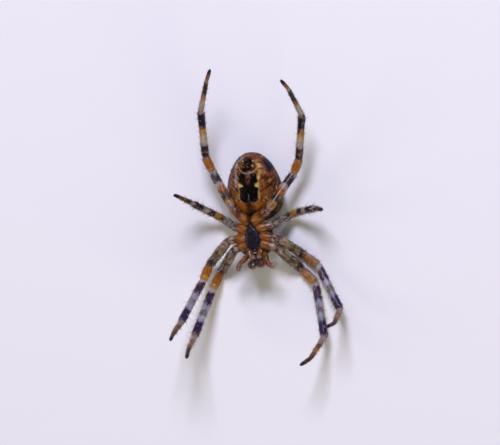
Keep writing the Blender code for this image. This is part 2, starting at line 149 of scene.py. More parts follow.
BANDS_THIRD = (
    (0.0, "rust", 0.6), (0.12, "deep_orange", 0.4), (0.56, "rust", 0.5), (0.66, "umber", 0.3),
    (0.73, "rose_bone", 1.0), (0.97, "umber", 0.4), (1.06, "ash", 0.9), (1.55, "umber", 0.8),
    (1.75, "plum_brown", 0.6), (1.93, "bone", 0.5), (2.0, "umber", 0.4), (2.1, "amber", 0.25),
    (2.95, "bone", 0.2), (3.02, "violet_black", 0.1), (3.14, "rust", 0.3), (3.2, "violet_black", 0.1),
    (3.34, "bone", 0.4), (3.6, "violet_black", 0.1), (4.0, "bone", 0.3), (4.28, "umber", 0.4),
    (4.72, "orange", 0.3), (4.86, "umber", 0.3), (5.0, "rust", 0.3), (5.35, "violet_black", 0.1),
)
BANDS_REAR = (
    (0.0, "rust", 0.6), (0.12, "deep_orange", 0.4), (0.54, "rust", 0.5), (0.65, "umber", 0.3),
    (0.73, "rose_brown", 0.8), (0.96, "umber", 0.5), (1.03, "rose_bone", 0.7), (1.09, "pale_orange", 0.7),
    (1.24, "umber", 0.6), (1.38, "rust", 0.4), (1.46, "orange", 0.5), (1.57, "lilac_cream", 0.5),
    # lilac_white from 1.91 is a painted highlight at the end of the femur
    (1.67, "plum_brown", 0.4), (1.91, "lilac_white", 0.4), (2.0, "amber", 0.2), (2.3, "orange", 0.25),
    (2.92, "rust", 0.3), (3.0, "violet_black", 0.1), (3.12, "rust", 0.3), (3.16, "violet_black", 0.1),
    (3.28, "bone", 0.4), (3.46, "cream", 0.5), (3.6, "orange", 0.4), (3.66, "violet_black", 0.1),
    (4.0, "bone", 0.4), (4.43, "orange", 0.3), (4.56, "umber", 0.3), (4.97, "bone", 0.3),
    (5.05, "orange", 0.35), (5.3, "rust", 0.4), (5.6, "violet_black", 0.1),
)
BANDS = {1: BANDS_FRONT, 2: BANDS_FRONT, 3: BANDS_THIRD, 4: BANDS_REAR}

# Palps in the prosoma's (along, aside, height), with share of their radius
PALP_RADIUS = 0.235
PALP_PATHS = {
    "left": ((3.1, 0.72, 3.5, 0.75), (3.46, 1.12, 3.42, 1.0), (3.7, 1.42, 3.51, 0.95),
             (3.97, 1.72, 3.64, 1.0), (4.25, 1.84, 3.82, 0.95), (4.52, 1.84, 4.01, 0.55)),
    "right": ((3.1, 0.72, 3.55, 0.75), (3.68, 1.02, 3.88, 1.0), (4.17, 1.13, 4.07, 0.95),
              (4.48, 1.38, 4.2, 1.0), (4.5, 1.8, 4.34, 0.95), (4.22, 2.03, 4.46, 0.55)),
}

SKIN_FLOOR = 0.012           # height of the skin above the floor, where it lies lowest
NOISE_OCTAVES = 3
WHOLE_CHART = (0.02, 0.02, 0.96, 0.96)       # a piece's place on its unwrap: left, low, width, height

# A closed form: place(station, angle) is a point of its skin, tint(station, angle, point) its colour
Form = namedtuple("Form", "name stations sides place tint plot material", defaults=(0,))
Seta = namedtuple("Seta", "root along out length radius lean bow colour tip_colour spot")


# ---------------------------------------------------------------- small tools

def linear(code):
    """Linear colour of an sRGB hex code such as #C06A12."""
    parts = [int(code[start:start + 2], 16) / 255.0 for start in (1, 3, 5)]
    return tuple(part / 12.92 if part <= 0.04045 else ((part + 0.055) / 1.055) ** 2.4 for part in parts)


def mix(low, high, share):
    return low + (high - low) * share


def smooth(low, high, value):
    """0 below low, 1 above high, and an even S between them."""
    share = min(1.0, max(0.0, (value - low) / (high - low)))
    return share * share * (3.0 - 2.0 * share)


def bow(share, power):
    """Half of a rounded outline: 1 at the middle and 0 at the end, blunter for a higher power."""
    return math.sqrt(max(0.0, 1.0 - min(1.0, abs(share)) ** power))


def outline_at(stops, share):
    """Smooth curve through (share, value) stops."""
    last = len(stops) - 1
    number = next((i for i in range(last) if share <= stops[i + 1][0]), last - 1)
    (start, low), (end, high) = stops[number], stops[number + 1]
    before, after = stops[max(0, number - 1)], stops[min(last, number + 2)]
    span = end - start
    rise_in = (high - before[1]) / max(1e-6, end - before[0]) * span
    rise_out = (after[1] - low) / max(1e-6, after[0] - start) * span
    t = min(1.0, max(0.0, (share - start) / span))
    return ((2 * t ** 3 - 3 * t ** 2 + 1) * low + (t ** 3 - 2 * t ** 2 + t) * rise_in
            + (3 * t ** 2 - 2 * t ** 3) * high + (t ** 3 - t ** 2) * rise_out)


def eased(low, high, count):
    """Steps that crowd towards both ends."""
    return [mix(low, high, 0.5 - 0.5 * math.cos(math.pi * i / (count - 1))) for i in range(count)]


def heading(degrees, rise):
    level = math.cos(math.radians(rise))
    turn = math.radians(degrees)
    return Vector((level * math.cos(turn), level * math.sin(turn), math.sin(math.radians(rise))))


def prosoma_place(along, aside, height):
    turn = math.radians(PROSOMA_TURN)
    forward = Vector((math.sin(turn), -math.cos(turn), 0.0))
    outward = Vector((math.cos(turn), math.sin(turn), 0.0))
    return PROSOMA_REAR + forward * along + outward * aside + UP * height


def prosoma_coordinates(point):
    """(along, aside) of a point: the reverse of prosoma_place."""
    offset = point - PROSOMA_REAR
    turn = math.radians(PROSOMA_TURN)
    return (offset.x * math.sin(turn) - offset.y * math.cos(turn),
            offset.x * math.cos(turn) + offset.y * math.sin(turn))


def rounded(angle, power):
    """Point of a unit superellipse: 2 is a circle, more is squarer, less is leaner."""
    across, up = math.cos(angle), math.sin(angle)
    return (math.copysign(abs(across) ** (2.0 / power), across),
            math.copysign(abs(up) ** (2.0 / power), up))


def box_mm(node):
    low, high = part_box(node)
    return low / MM, high / MM


def grain(point, scale):
    """Even noise between about -1 and 1, with features about 1 / scale millimetres wide."""
    return noise.fractal(point * scale, 1.0, 2.0, NOISE_OCTAVES)


def blend(colour, other, share):
    """Mixes two colours with mottling, each of red, green, blue and mottling."""
    share = min(1.0, max(0.0, share))
    return tuple(mix(a, b, share) for a, b in zip(colour, other))


def layered(tone, colours, *layers):
    """The tone under one named colour after another, each laid over its share."""
    for name, share in layers:
        tone = blend(tone, colours[name], share)
    return tone


def ridge(offset, width):
    """1 on a line and a soft fall to 0 beside it; width is about half of the ridge's own."""
    return math.exp(-(offset / width) ** 2)


def spot(x, y, across, along, softness=0.25):
    """1 inside an ellipse of these half axes round 0, 0, and 0 outside, with a soft edge."""
    return 1.0 - smooth(1.0 - softness, 1.0 + softness, math.hypot(x / across, y / along))


# ---------------------------------------------------------------- building meshes

def wrapped(form):
    """Closed skin: a grid rolled up so that its two long sides meet, and its ends close."""
    bm = bmesh.new()
    rings = len(form.stations) - 1
    bmesh.ops.create_grid(bm, x_segments=rings, y_segments=form.sides, size=0.5)
    number = bm.verts.layers.int.new("number")
    angle = bm.verts.layers.float.new("angle")
    for vert in bm.verts:
        vert[number] = round((vert.co.x + 0.5) * rings)
        vert[angle] = (vert.co.y + 0.5) * TAU
    chart = bm.loops.layers.uv.new("OFBake")
    for face in bm.faces:
        for loop in face.loops:
            share = form.stations[loop.vert[number]] / form.stations[-1]
            loop[chart].uv = plotted(form.plot, share, loop.vert[angle])
    tint = bm.verts.layers.float_color.new("tint")
    for vert in bm.verts:
        station, turn = form.stations[vert[number]], vert[angle]
        vert.co = form.place(station, turn)
        vert[tint] = form.tint(station, turn, vert.co)
    bmesh.ops.remove_doubles(bm, verts=bm.verts, dist=1e-4)
    for face in bm.faces:
        face.material_index = form.material
        face.smooth = True
    bm.verts.layers.int.remove(number)
    bm.verts.layers.float.remove(bm.verts.layers.float["angle"])
    bmesh.ops.recalc_face_normals(bm, faces=bm.faces)
    return bm


def plotted(plot, share, angle):
    """Place on the unwrap: the form's own rectangle, its length across and its girth up."""
    left, low, width, height = plot
    return (left + width * share, low + height * (angle / TAU % 1.0 if angle < TAU else 1.0))


def joined(parts):
    """One bmesh from several."""
    whole = bmesh.new()
    for part in parts:
        mesh = bpy.data.meshes.new("part")
        part.to_mesh(mesh)
        part.free()
        whole.from_mesh(mesh)
        bpy.data.meshes.remove(mesh)
    return whole


def finish(bm, name, materials, nodes=()):
    """Makes the millimetre mesh an object in metres that rides on the body."""
    bmesh.ops.scale(bm, verts=bm.verts, vec=(MM, MM, MM))
    mesh = bpy.data.meshes.new(name)
    bm.to_mesh(mesh)
    bm.free()
    return placed(mesh, name, materials, nodes)


def placed(mesh, name, materials, nodes=()):
    for material in materials:
        mesh.materials.append(material)
    made = bpy.data.objects.new(name, mesh)
    bpy.context.scene.collection.objects.link(made)
    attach(made, "root")
    if nodes:
        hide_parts(*nodes)
    return made


def tube_form(name, points, sizes, tint, plot, sides, count, grooves=(), blunt=1.0):
    """Form of a closed round tube along a smooth curve through a few points.

    A groove is (share of the length, depth as a share of the radius, reach), and blunt is how
    many radii before its ends the tube starts to round off.
    """
    steps = [i / (len(points) - 1) for i in range(len(points))]
    curves = [[(step, point[axis]) for step, point in zip(steps, points)] for axis in range(3)]
    girth = list(zip(steps, sizes))
    shares = eased(0.0, 1.0, count)
    middles = [Vector([outline_at(curve, share) for curve in curves]) for share in shares]
    length = sum((b - a).length for a, b in zip(middles, middles[1:]))
    runs = [(middles[min(i + 1, count - 1)] - middles[max(i - 1, 0)]).normalized()
            for i in range(count)]
    turn = UP.rotation_difference(runs[0])
    turns = [turn]
    for before, after in zip(runs, runs[1:]):
        turn = before.rotation_difference(after) @ turn
        turns.append(turn)
    numbers = {share: i for i, share in enumerate(shares)}

    def place(share, angle):
        i = numbers.get(share)
        if i is None:
            i = min(range(count), key=lambda n: abs(shares[n] - share))
        radius = outline_at(girth, shares[i])
        end = min(shares[i], 1.0 - shares[i]) * length
        radius *= bow(1.0 - min(1.0, end / max(1e-6, blunt * radius)), 2.0)
        for where, depth, reach in grooves:
            radius *= 1.0 - depth * ridge(shares[i] - where, reach)
        return middles[i] + turns[i] @ Vector((radius * math.cos(angle), radius * math.sin(angle), 0.0))

    return Form(name, shares, sides, place, tint, plot)


# ---------------------------------------------------------------- abdomen

ABDOMEN_COAT = 0.05          # depth of the short coat over the abdomen's skin
ABDOMEN_WIDEST = 0.1         # place along Y of its widest ring
ABDOMEN_MIDDLE = 1.75        # height of its widest line
ABDOMEN_BOWS = {             # bluntness of each outline, ahead of the widest ring and behind it
    "width": (3.2, 1.75), "belly": (2.1, 2.4), "back": (2.6, 2.4)}
ABDOMEN_ROUND = (1.75, 2.1)  # squareness of its rings above the widest line and below it
ABDOMEN_RINGS, ABDOMEN_SIDES = 190, 208
BACK_FLAT = 0.06             # how far the back is pressed flat on the floor
TAIL_LIFT = 0.5
TAIL_SWAY = -0.1
SHOULDER_LEAN = 0.38         # how far the front leans out over the back
SHOULDER_SHARE = 0.62        # share of that lean which the solid's front already has
BELLY_MIDDLE_X = 0.08

# Places on the belly, from its middle line, and along Y
BOOK_LUNGS = (0.93, -1.3)
FURROW_Y = -0.5              # the cross furrow behind the book lungs, where the epigyne opens
SPINNERETS_AT = Vector((-0.05, 2.65))
BELLY_DIMPLES = ((0.42, 0.35), (0.4, 1.15), (0.38, 1.8))
BACK_DIMPLES = ((0.5, -0.9), (0.55, 0.1), (0.5, 1.2))
FIELD_MIDDLE, FIELD_HALF = 0.62, (0.42, 0.9)     # the black field, up to where its corners round off
FIELD_CORNER = 0.53
PATCH_AT = (0.86, 0.86)      # the yellow patch beside the field
STRIPE_WIDTH = 0.17
SPOTS_AT = ((0.5, 0.3), (0.47, -0.14))           # yellow spots, from the middle of the spinnerets' ring
PLUM_MARKS = ((0.95, 3.02, 0.22), (1.12, 2.42, 0.24))    # aside, along Y, half length
CROSS = (                    # pale drops of the back's cross: aside, along Y, half width, half length
    (0.0, -0.95, 0.1, 0.16), (0.0, -0.42, 0.12, 0.26), (0.0, 0.2, 0.1, 0.24), (0.0, 0.72, 0.09, 0.13),
    (0.38, -0.5, 0.15, 0.09), (0.68, -0.6, 0.12, 0.08), (0.42, 0.9, 0.08, 0.1), (0.36, 1.6, 0.08, 0.1),
    (0.26, 2.3, 0.07, 0.09), (0.8, 0.35, 0.07, 0.08), (0.55, -1.25, 0.08, 0.07),
)
SkinPoint = namedtuple("SkinPoint", "point x y z wobble speck streak belly")


def abdomen_form(colours):
    low, high = box_mm("abdomen")
    front = low.y + SHOULDER_LEAN * SHOULDER_SHARE
    forward_reach = ABDOMEN_WIDEST - front - ABDOMEN_COAT
    rear_reach = high.y - ABDOMEN_WIDEST - ABDOMEN_COAT
    half_width = (high.x - low.x) / 2.0 - ABDOMEN_COAT
    belly_rise = high.z - ABDOMEN_MIDDLE - ABDOMEN_COAT
    rings = eased(ABDOMEN_WIDEST - forward_reach, ABDOMEN_WIDEST + rear_reach, ABDOMEN_RINGS)

    def place(station, angle):
        y = station + rings[0]
        forward = max(0.0, ABDOMEN_WIDEST - y) / forward_reach
        rearward = max(0.0, y - ABDOMEN_WIDEST) / rear_reach
        share = {name: bow(forward, a) * bow(rearward, b) for name, (a, b) in ABDOMEN_BOWS.items()}
        across, up = rounded(angle, ABDOMEN_ROUND[0 if angle < math.pi else 1])
        reach = belly_rise * share["belly"] if up > 0.0 else (ABDOMEN_MIDDLE + BACK_FLAT) * share["back"]
        lean = SHOULDER_LEAN * forward * max(0.0, -up)
        point = Vector((half_width * share["width"] * across + TAIL_SWAY * rearward, y - lean,
                        ABDOMEN_MIDDLE + TAIL_LIFT * rearward ** 2 + up * reach))
        closed = min(share["width"], 0.25) * 4.0
        point += abdomen_relief(point) * closed * Vector((across, 0.0, up)).normalized()
        point.z = max(point.z, SKIN_FLOOR)
        return point

    def tint(station, angle, point):
        return abdomen_tint(point, colours)

    stations = [ring - rings[0] for ring in rings]
    return Form("abdomen", stations, ABDOMEN_SIDES, place, tint, (0.735, 0.0, 0.26, 0.6), 1)


def book_lung(x, y, across, along, softness):
    """1 on either of the two plates over the lungs, of these half axes."""
    return spot(abs(x) - BOOK_LUNGS[0], y - BOOK_LUNGS[1], across, along, softness)


def abdomen_relief(point):
    """Height of the fine relief over the smooth egg, in millimetres."""
    x, y, z = point
    x -= BELLY_MIDDLE_X
    belly, back = smooth(3.2, 4.2, z), smooth(1.4, 0.6, z)
    height = 0.02 * grain(point, 1.1) + 0.008 * grain(point, 5.0)
    plate = book_lung(x, y, 0.52, 0.56, 0.4)
    height += belly * (0.09 * plate - 0.05 * (book_lung(x, y, 0.64, 0.68, 0.25) - plate))
    furrow = ridge(y - FURROW_Y + 0.12 * math.cos(1.1 * x), 0.09) * smooth(1.7, 1.3, abs(x))
    height -= 0.055 * belly * furrow
    height -= 0.03 * belly * ridge(x, 0.16) * smooth(-0.6, -0.9, y)
    for aside, along in BELLY_DIMPLES:
        height -= 0.03 * belly * spot(abs(x) - aside, y - along, 0.1, 0.13, 0.6)
    ring = math.hypot(x - SPINNERETS_AT.x, (y - SPINNERETS_AT.y) * 0.9)
    height -= 0.05 * belly * ridge(ring - 0.78, 0.14)
    for aside, along in BACK_DIMPLES:
        height -= 0.03 * back * spot(abs(x) - aside, y - along, 0.12, 0.16, 0.6)
    flank = (1.0 - belly) * (1.0 - back)
    return height + 0.012 * flank * math.sin(7.0 * (y + 0.55 * z) + 2.5 * grain(point, 0.8))


def abdomen_tint(point, colours):
    """Colour of the abdomen's skin: a leaf with a cross on the back, a black field on the belly."""
    x, y, z = point
    wobble = 0.09 * grain(point, 2.6)
    streaks = Vector((x * 1.4, (y + 0.9 * z) * 4.2, z - 0.9 * y))
    skin = SkinPoint(point, x - BELLY_MIDDLE_X - TAIL_SWAY * max(0.0, y) / 4.0, y, z, wobble,
                     grain(point + Vector((7.0, 0.0, 0.0)), 4.5), 1.3 * grain(streaks, 1.0),
                     smooth(2.7, 3.8, z + wobble))
    tone = flank_tone(skin, colours)
    for mark in (forepart_tone, stripe_tone, field_tone, lung_tone, ring_tone, back_tone):
        tone = mark(tone, skin, colours)
    return tone


def flank_tone(skin, colours):
    """Rust and orange, with dark and pale streaks that slant down to the rear, and painted shade towards the
    outline.
    """
    _, x, y, z, _, speck, streak, _ = skin
    tone = blend(colours["rust"], colours["orange"], smooth(-0.1, 0.6, 0.7 * speck + 0.8 * streak))
    # painted shade: umber darkens each flank towards the outline, more strongly on the left
    shade = 0.9 * smooth(4.0, 2.8, z) if x < 0.0 else 0.65 * smooth(3.7, 2.4, z)
    tone = layered(tone, colours,
                   ("umber", 0.95 * smooth(0.0, 0.42, -streak - 0.3 * speck)), ("umber", shade),
                   ("rose_brown", 0.8 * smooth(0.08, 0.4, streak) * smooth(-1.5, 0.5, y)),
                   ("cream", 0.5 * smooth(0.18, 0.44, streak) * smooth(-0.1, 0.2, speck)))
    rear = smooth(2.5, 3.3, abs(x - SPINNERETS_AT.x) * 0.4 + y)
    return blend(tone, blend(colours["rust"], colours["rose_brown"], smooth(-0.1, 0.3, speck)), 0.75 * rear)


def forepart_tone(tone, skin, colours):
    """Orange-brown in front of the black field."""
    speck, streak = skin.speck, skin.streak
    forepart = layered(blend(colours["orange"], colours["rust"], smooth(-0.2, 0.3, streak)), colours,
                       ("umber", 0.8 * smooth(0.0, 0.35, speck)),
                       ("straw", 0.45 * smooth(0.05, 0.4, -streak) * smooth(0.3, 0.0, speck)))
    return blend(tone, forepart, skin.belly * smooth(0.6, -0.6, skin.y))


def stripe_tone(tone, skin, colours):
    """A pale stripe on each side of the black field: lilac on the left, gold on the right; the lilac is a
    painted cool highlight on the pale stripe.
    """
    _, x, y, z, wobble, _, streak, _ = skin
    if x < 0.0:
        # the left stripe is real and pale; its lilac colour is a painted cool highlight
        name, strength, height = "lilac_cream", 0.85, smooth(2.4, 3.2, z)
        stripe_at = 1.27 - 0.9 * smooth(2.7, 3.9, y)
        ends, broken = smooth(0.4, 1.2, y) * smooth(3.9, 3.3, y), mix(0.55, 1.0, smooth(-0.5, 0.3, streak))
    else:
        name, strength, height = "gold", 1.0, smooth(2.6, 3.3, z)
        stripe_at = mix(0.9, 1.1, smooth(1.2, 2.2, y)) - 0.3 * smooth(2.3, 3.3, y)
        ends, broken = smooth(0.5, 1.4, y) * smooth(3.4, 2.9, y), mix(0.5, 1.0, smooth(-0.5, 0.4, streak))
    stripe = ridge(abs(x + wobble) - stripe_at, STRIPE_WIDTH) * ends * broken
    return blend(tone, colours[name], strength * height * stripe)


def field_tone(tone, skin, colours):
    """The black field with its rust heart, its pale edge and a yellow patch on each side."""
    point, x, y, _, wobble, speck, _, belly = skin
    aside, corner = abs(x + wobble), field_corner(skin)
    heart = spot(x, y - 1.62, 0.22, 0.6, 0.5) * smooth(-0.5, 0.0, speck)
    edge = ridge(corner - 0.56, 0.045) * smooth(0.75, 0.6, y) * smooth(0.35, 0.6, aside)
    patch_x = aside - PATCH_AT[0] + 0.07 * grain(point, 4.0)
    patch_y = y - PATCH_AT[1] + 0.07 * speck
    patch = max(spot(patch_x - 0.02, patch_y - 0.02, 0.17, 0.22),
                spot(patch_x + 0.13, patch_y + 0.05, 0.17, 0.11))
    return layered(tone, colours, ("belly_black", belly * field_share(corner)),
                   ("rust", 0.85 * belly * heart), ("cream", 0.85 * belly * edge),
                   ("yellow", belly * patch))


def field_corner(skin):
    """Distance from the black field's core, which its rounded outline follows."""
    return math.hypot(max(0.0, abs(skin.x + skin.wobble) - FIELD_HALF[0]),
                      max(0.0, abs(skin.y - FIELD_MIDDLE + 0.6 * skin.wobble) - FIELD_HALF[1]))


def field_share(corner):
    return smooth(FIELD_CORNER, FIELD_CORNER - 0.09, corner)


def ring_place(skin):
    """Place from the middle of the spinnerets' ring."""
    return skin.x - SPINNERETS_AT.x - 0.03, skin.y - SPINNERETS_AT.y - 0.2


def lung_tone(tone, skin, colours):
    """A pale arc behind the field with a painted highlight in its middle, the orange lung plates in painted
    shade at their rims, and the dark throat between them.
    """
    x, y, belly = skin.x, skin.y, skin.belly
    ring_x, ring_y = ring_place(skin)
    arc = ridge(math.hypot(ring_x, ring_y * 1.05) - 0.92, 0.05) * smooth(3.0, 2.3, y)
    # painted highlight: the arc's middle turns lilac white, its sides keep the cream
    pale = blend(colours["cream"], colours["lilac_white"], smooth(0.4, 0.1, abs(ring_x)))
    # painted shade: rust darkens the groove round each raised lung plate
    rim = book_lung(x, y, 0.64, 0.7, 0.3) * smooth(0.9, 0.0, field_share(field_corner(skin)))
    return layered(blend(tone, pale, 0.8 * belly * arc), colours, ("rust", 0.8 * belly * rim),
                   ("deep_orange", belly * book_lung(x, y, 0.5, 0.56, 0.25)),
                   # the throat between the plates: partly the belly's own dark brown, partly painted shade in
                   # the groove between them
                   ("umber", 0.9 * belly * spot(x, y + 1.55, 0.42, 0.8, 0.5)))


def ring_tone(tone, skin, colours):
    """Round the spinnerets: a dark ring with two pairs of yellow spots, and plum marks beside it."""
    ring_x, ring_y = ring_place(skin)
    height = smooth(3.0, 3.6, skin.z)
    tone = blend(tone, colours["belly_black"], height * spot(ring_x, ring_y, 0.62, 0.68, 0.3))
    for aside, along in SPOTS_AT:
        dot = spot(abs(ring_x) - aside, ring_y - along, 0.1, 0.085, 0.35)
        tone = blend(tone, colours["yellow"], 0.8 * height * dot)
    marks = sum(spot(abs(skin.x) - aside, skin.y - along, half, 0.09, 0.4)
                for aside, along, half in PLUM_MARKS)
    return blend(tone, colours["plum_brown"], 0.85 * marks * smooth(2.4, 3.2, skin.z))


def back_tone(tone, skin, colours):
    """The back's dark leaf with its scalloped pale edge and its cross of pale drops."""
    point, x, y, z, wobble, speck, streak, _ = skin
    back = smooth(2.5, 1.9, z - 0.55 * max(0.0, y) / 4.0)
    rim = smooth(3.5, 3.0, z) * spot(abs(x) - 1.6, y - 2.8, 0.46, 0.95, 0.4) * smooth(-1.0, -0.4, speck)
    leaf = mix(1.8, 0.75, smooth(-1.0, 3.6, y)) + 0.17 * math.sin(3.6 * y) + 1.2 * wobble
    aside = abs(x) - leaf
    leaf_tone = blend(colours["umber"], colours["rust"],
                      0.8 * smooth(-0.1, 0.4, speck) * smooth(0.0, 0.9, -aside))
    scallop = ridge(aside - 0.2, 0.07) * smooth(-0.3, 0.3, math.sin(3.6 * y) + 0.6 * speck)
    ragged_x, ragged_y = x + 0.08 * grain(point, 4.0), y + 0.08 * streak + 0.06 * speck
    white = max(spot(abs(ragged_x) - cross_x, ragged_y - cross_y, across, along, 0.55)
                for cross_x, cross_y, across, along in CROSS)
    tone = blend(tone, colours["violet_black"], rim)
    tone = blend(tone, leaf_tone, 0.95 * back * smooth(0.12, -0.12, aside))
    return layered(tone, colours, ("belly_black", 0.9 * back * ridge(aside, 0.12)),
                   ("cream", 0.8 * back * scallop), ("yellow", 0.95 * back * white))


def pedicel_form(colours):
    rear = prosoma_place(0.45, 0.0, 2.72)
    front = Vector((rear.x, box_mm("abdomen")[0].y + 0.95, 2.5))
    points = [mix(rear, front, share) for share in (0.0, 0.4, 0.7, 1.0)]

    def tint(share, angle, point):
        return blend(colours["umber"], colours["orange"], smooth(-0.2, 0.3, grain(point, 5.0)))

    return tube_form("pedicel", points, (0.22, 0.24, 0.25, 0.2), tint, (0.735, 0.96, 0.06, 0.03), 16, 16)


def pleura_form(colours):
    """Soft folded membrane between the carapace's rim and the sternum, which the coxae grow from."""
    rear, front, low, high = -0.05, 3.3, 2.72, 3.84

    def place(station, angle):
        share = station / (front - rear)
        closed = bow(max(0.0, 0.45 - share) / 0.46, 3.2) * bow(max(0.0, share - 0.6) / 0.41, 3.0)
        across, up = rounded(angle, 2.3)
        middle = mix(low, high, 0.4)
        reach = (high - middle if up > 0.0 else middle - low) * min(1.0, 2.5 * closed)
        fold = 1.0 + 0.03 * math.sin(21.0 * station)
        return prosoma_place(rear + station, 1.3 * closed * across * fold, middle + reach * up)

    def tint(station, angle, point):
        tone = blend(colours["orange"], colours["rust"], smooth(-0.2, 0.3, grain(point, 4.0)))
        along, aside = prosoma_coordinates(point)
        # painted shade: umber where the membrane lies deep between the rear coxae, low under the plates, and
        # at the front under the carapace
        shade = max(smooth(0.9, 0.5, abs(aside)) * smooth(0.95, 0.45, along), smooth(3.3, 2.95, point.z),
                    smooth(2.5, 2.9, along))
        return blend(tone, colours["umber"], 0.92 * shade)

    return Form("pleura", eased(0.0, front - rear, 56), 56, place, tint, (0.82, 0.9, 0.16, 0.09))


# ---------------------------------------------------------------- legs and palps

def leg_joints(pair, side):
    along, aside, height = LEG_ROOTS[pair]
    joints = [prosoma_place(along, SIDES[side] * aside, height)]
    for length, (turn, rise) in zip(LEG_LENGTHS[pair], LEG_POSE[pair, side]):
        joints.append(joints[-1] + heading(turn, rise) * length)
    return joints


def check_legs():
    """Stops if a leg here doesn't lie in the frame's solids."""
    for pair, side in LEG_POSE:
        joints = leg_joints(pair, side)
        for part, first, last in (("femur", 1, 2), ("tibia", 2, 4), ("foot", 4, 6)):
            low, high = box_mm(f"leg_{pair}_{side}_{part}")
            for share in (0.1, 0.9):
                point = mix(joints[first], joints[last], share) if last - first == 1 else joints[first + 1]
                if any(not low[i] - 0.05 <= point[i] <= high[i] + 0.05 for i in range(3)):
                    raise RuntimeError(f"leg {pair} {side}: the {part} has left its solid")


class Leg:
    """Middle line, frame and girth of one leg at any distance from its root."""

    def __init__(self, pair, side):
        self.pair, self.side = pair, side
        self.joints = leg_joints(pair, side)
        self.joints[0] -= (self.joints[1] - self.joints[0]).normalized() * ROOT_DEPTH
        self.lengths = (LEG_LENGTHS[pair][0] + ROOT_DEPTH, *LEG_LENGTHS[pair][1:])
        self.starts = [sum(self.lengths[:i]) for i in range(len(self.lengths) + 1)]
        self.total = self.starts[-1]
        self.runs = [(b - a).normalized() for a, b in zip(self.joints, self.joints[1:])]
        self.known = {}

    def part_at(self, distance):
        """(number of the length, share along it)."""
        number = next((i for i in range(5) if distance <= self.starts[i + 1]), 5)
        return number, (distance - self.starts[number]) / self.lengths[number]

    def station(self, distance):
        number, share = self.part_at(distance)
        return number + share

    def middle(self, distance):
        number, share = self.part_at(distance)
        joint = number if share < 0.5 else number + 1
        offset = distance - self.starts[joint]
        corner = self.joints[joint]
        if 0 < joint < 6 and abs(offset) < KNEE_ROUND:
            t = (offset / KNEE_ROUND + 1.0) / 2.0
            start = corner - self.runs[joint - 1] * KNEE_ROUND
            end = corner + self.runs[joint] * KNEE_ROUND
            return start * (1 - t) ** 2 + corner * 2 * t * (1 - t) + end * t ** 2
        return mix(self.joints[number], self.joints[number + 1], share)

    def frame_at(self, distance):
        """(middle, direction along the leg, its back, its flank), worked out once a ring."""
        key = round(distance, 5)
        if key not in self.known:
            ahead = self.middle(min(self.total, distance + 0.02))
            behind = self.middle(max(0.0, distance - 0.02))
            run = (ahead - behind).normalized()
            back = (-UP + run * run.z).normalized()
            self.known[key] = (self.middle(distance), run, back, run.cross(back))
        return self.known[key]

    def radius(self, distance):
        number, share = self.part_at(distance)
        radius = LEG_RADII[self.pair][number] * outline_at(LEG_OUTLINES[number], share)
        tip = self.total - distance
        if tip < TIP_ROUND:
            radius *= bow(1.0 - tip / TIP_ROUND, 2.0)
        if distance < ROOT_ROUND:
            radius *= bow(1.0 - distance / ROOT_ROUND, 2.0)
        return radius

    def fold(self, distance):
        """Depth of the soft fold on the belly side near a joint, as a share of the radius."""
        depth = 0.0
        for joint in range(1, 6):
            deepest = 0.3 if joint in (2, 3, 4) else 0.12
            depth = max(depth, deepest * ridge(distance - self.starts[joint], JOINT_FOLD))
        return depth

    def crease(self, distance, angle):
        """The fold's depth at this angle: whole on the belly side, nothing on the back."""
        return self.fold(distance) * ((1.0 - math.cos(angle)) / 2.0) ** 2

    def place(self, distance, angle):
        middle, _, back, flank = self.frame_at(distance)
        outward = back * math.cos(angle) + flank * math.sin(angle)
        radius = self.radius(distance) * (1.0 - self.crease(distance, angle))
        radius += min(1.0, 3.0 * radius) * LEG_RELIEF * grain(middle + outward * radius, 2.8)
        point = middle + outward * radius
        point.z = max(point.z, SKIN_FLOOR)
        return point

    def rings(self):
        found = [0.0, 0.004]
        for start, length in zip(self.starts, self.lengths):
            found += eased(start, start + length, max(9, round(length / RING_STEP)))[1:]
        return found[:-1] + [self.total - 0.05, self.total - 0.015, self.total - 0.002, self.total]

    def skin(self, colours, plot):
        bands = [(start, colours[name][:3] + (mottle,)) for start, name, mottle in BANDS[self.pair]]
        straw, umber = colours["straw"], colours["umber"]

        def tint(distance, angle, point):
            station = self.station(distance) + 0.06 * grain(point, 2.4) + 0.03 * grain(point, 7.0)
            tone = banded(bands, station)
            if self.pair < 3 and self.side == "right":       # the kneecap's outer side is rose grey
                outer = smooth(0.0, 0.65, math.sin(angle) + 0.4 * fleck(point))
                tone = blend(tone, colours["rose_bone"],
                             0.75 * outer * smooth(1.85, 2.1, station) * smooth(3.1, 2.9, station))
            lengthways = Vector((0.8 * distance, 1.3 * math.cos(angle), 1.3 * math.sin(angle) + self.pair))
            pattern = 0.55 * fleck(point) + 0.75 * grain(lengthways, 2.2)
            tone = blend(tone, straw, 0.5 * tone[3] * smooth(0.08, 0.4, pattern))
            tone = blend(tone, umber, 0.85 * tone[3] * smooth(0.04, 0.36, -pattern))
            # painted shade: umber darkens the legs' roots in the cleft between the coxae near the prosoma's
            # middle line
            cleft_shade = smooth(0.34, 0.12, abs(prosoma_coordinates(point)[1])) * smooth(0.8, 0.6, station)
            return layered(tone, colours, ("umber", 0.3 * smooth(0.0, 0.5, grain(point, 1.2))),
                           ("umber", 0.9 * cleft_shade), ("joint_pale", 2.2 * self.crease(distance, angle)))

        rings = sorted(set(self.rings()))
        return Form(f"leg_{self.pair}_{self.side}", rings, LEG_SIDES, self.place, tint, plot)


BAND_EDGE = 0.03             # half width of the soft edge of a band, in lengths


def banded(bands, station):
    """Colour of the band that a station lies in, with soft edges."""
    tone = bands[0][1]
    for start, colour in bands[1:]:
        if station < start - BAND_EDGE:
            break
        tone = blend(tone, colour, smooth(-BAND_EDGE, BAND_EDGE, station - start))
    return tone


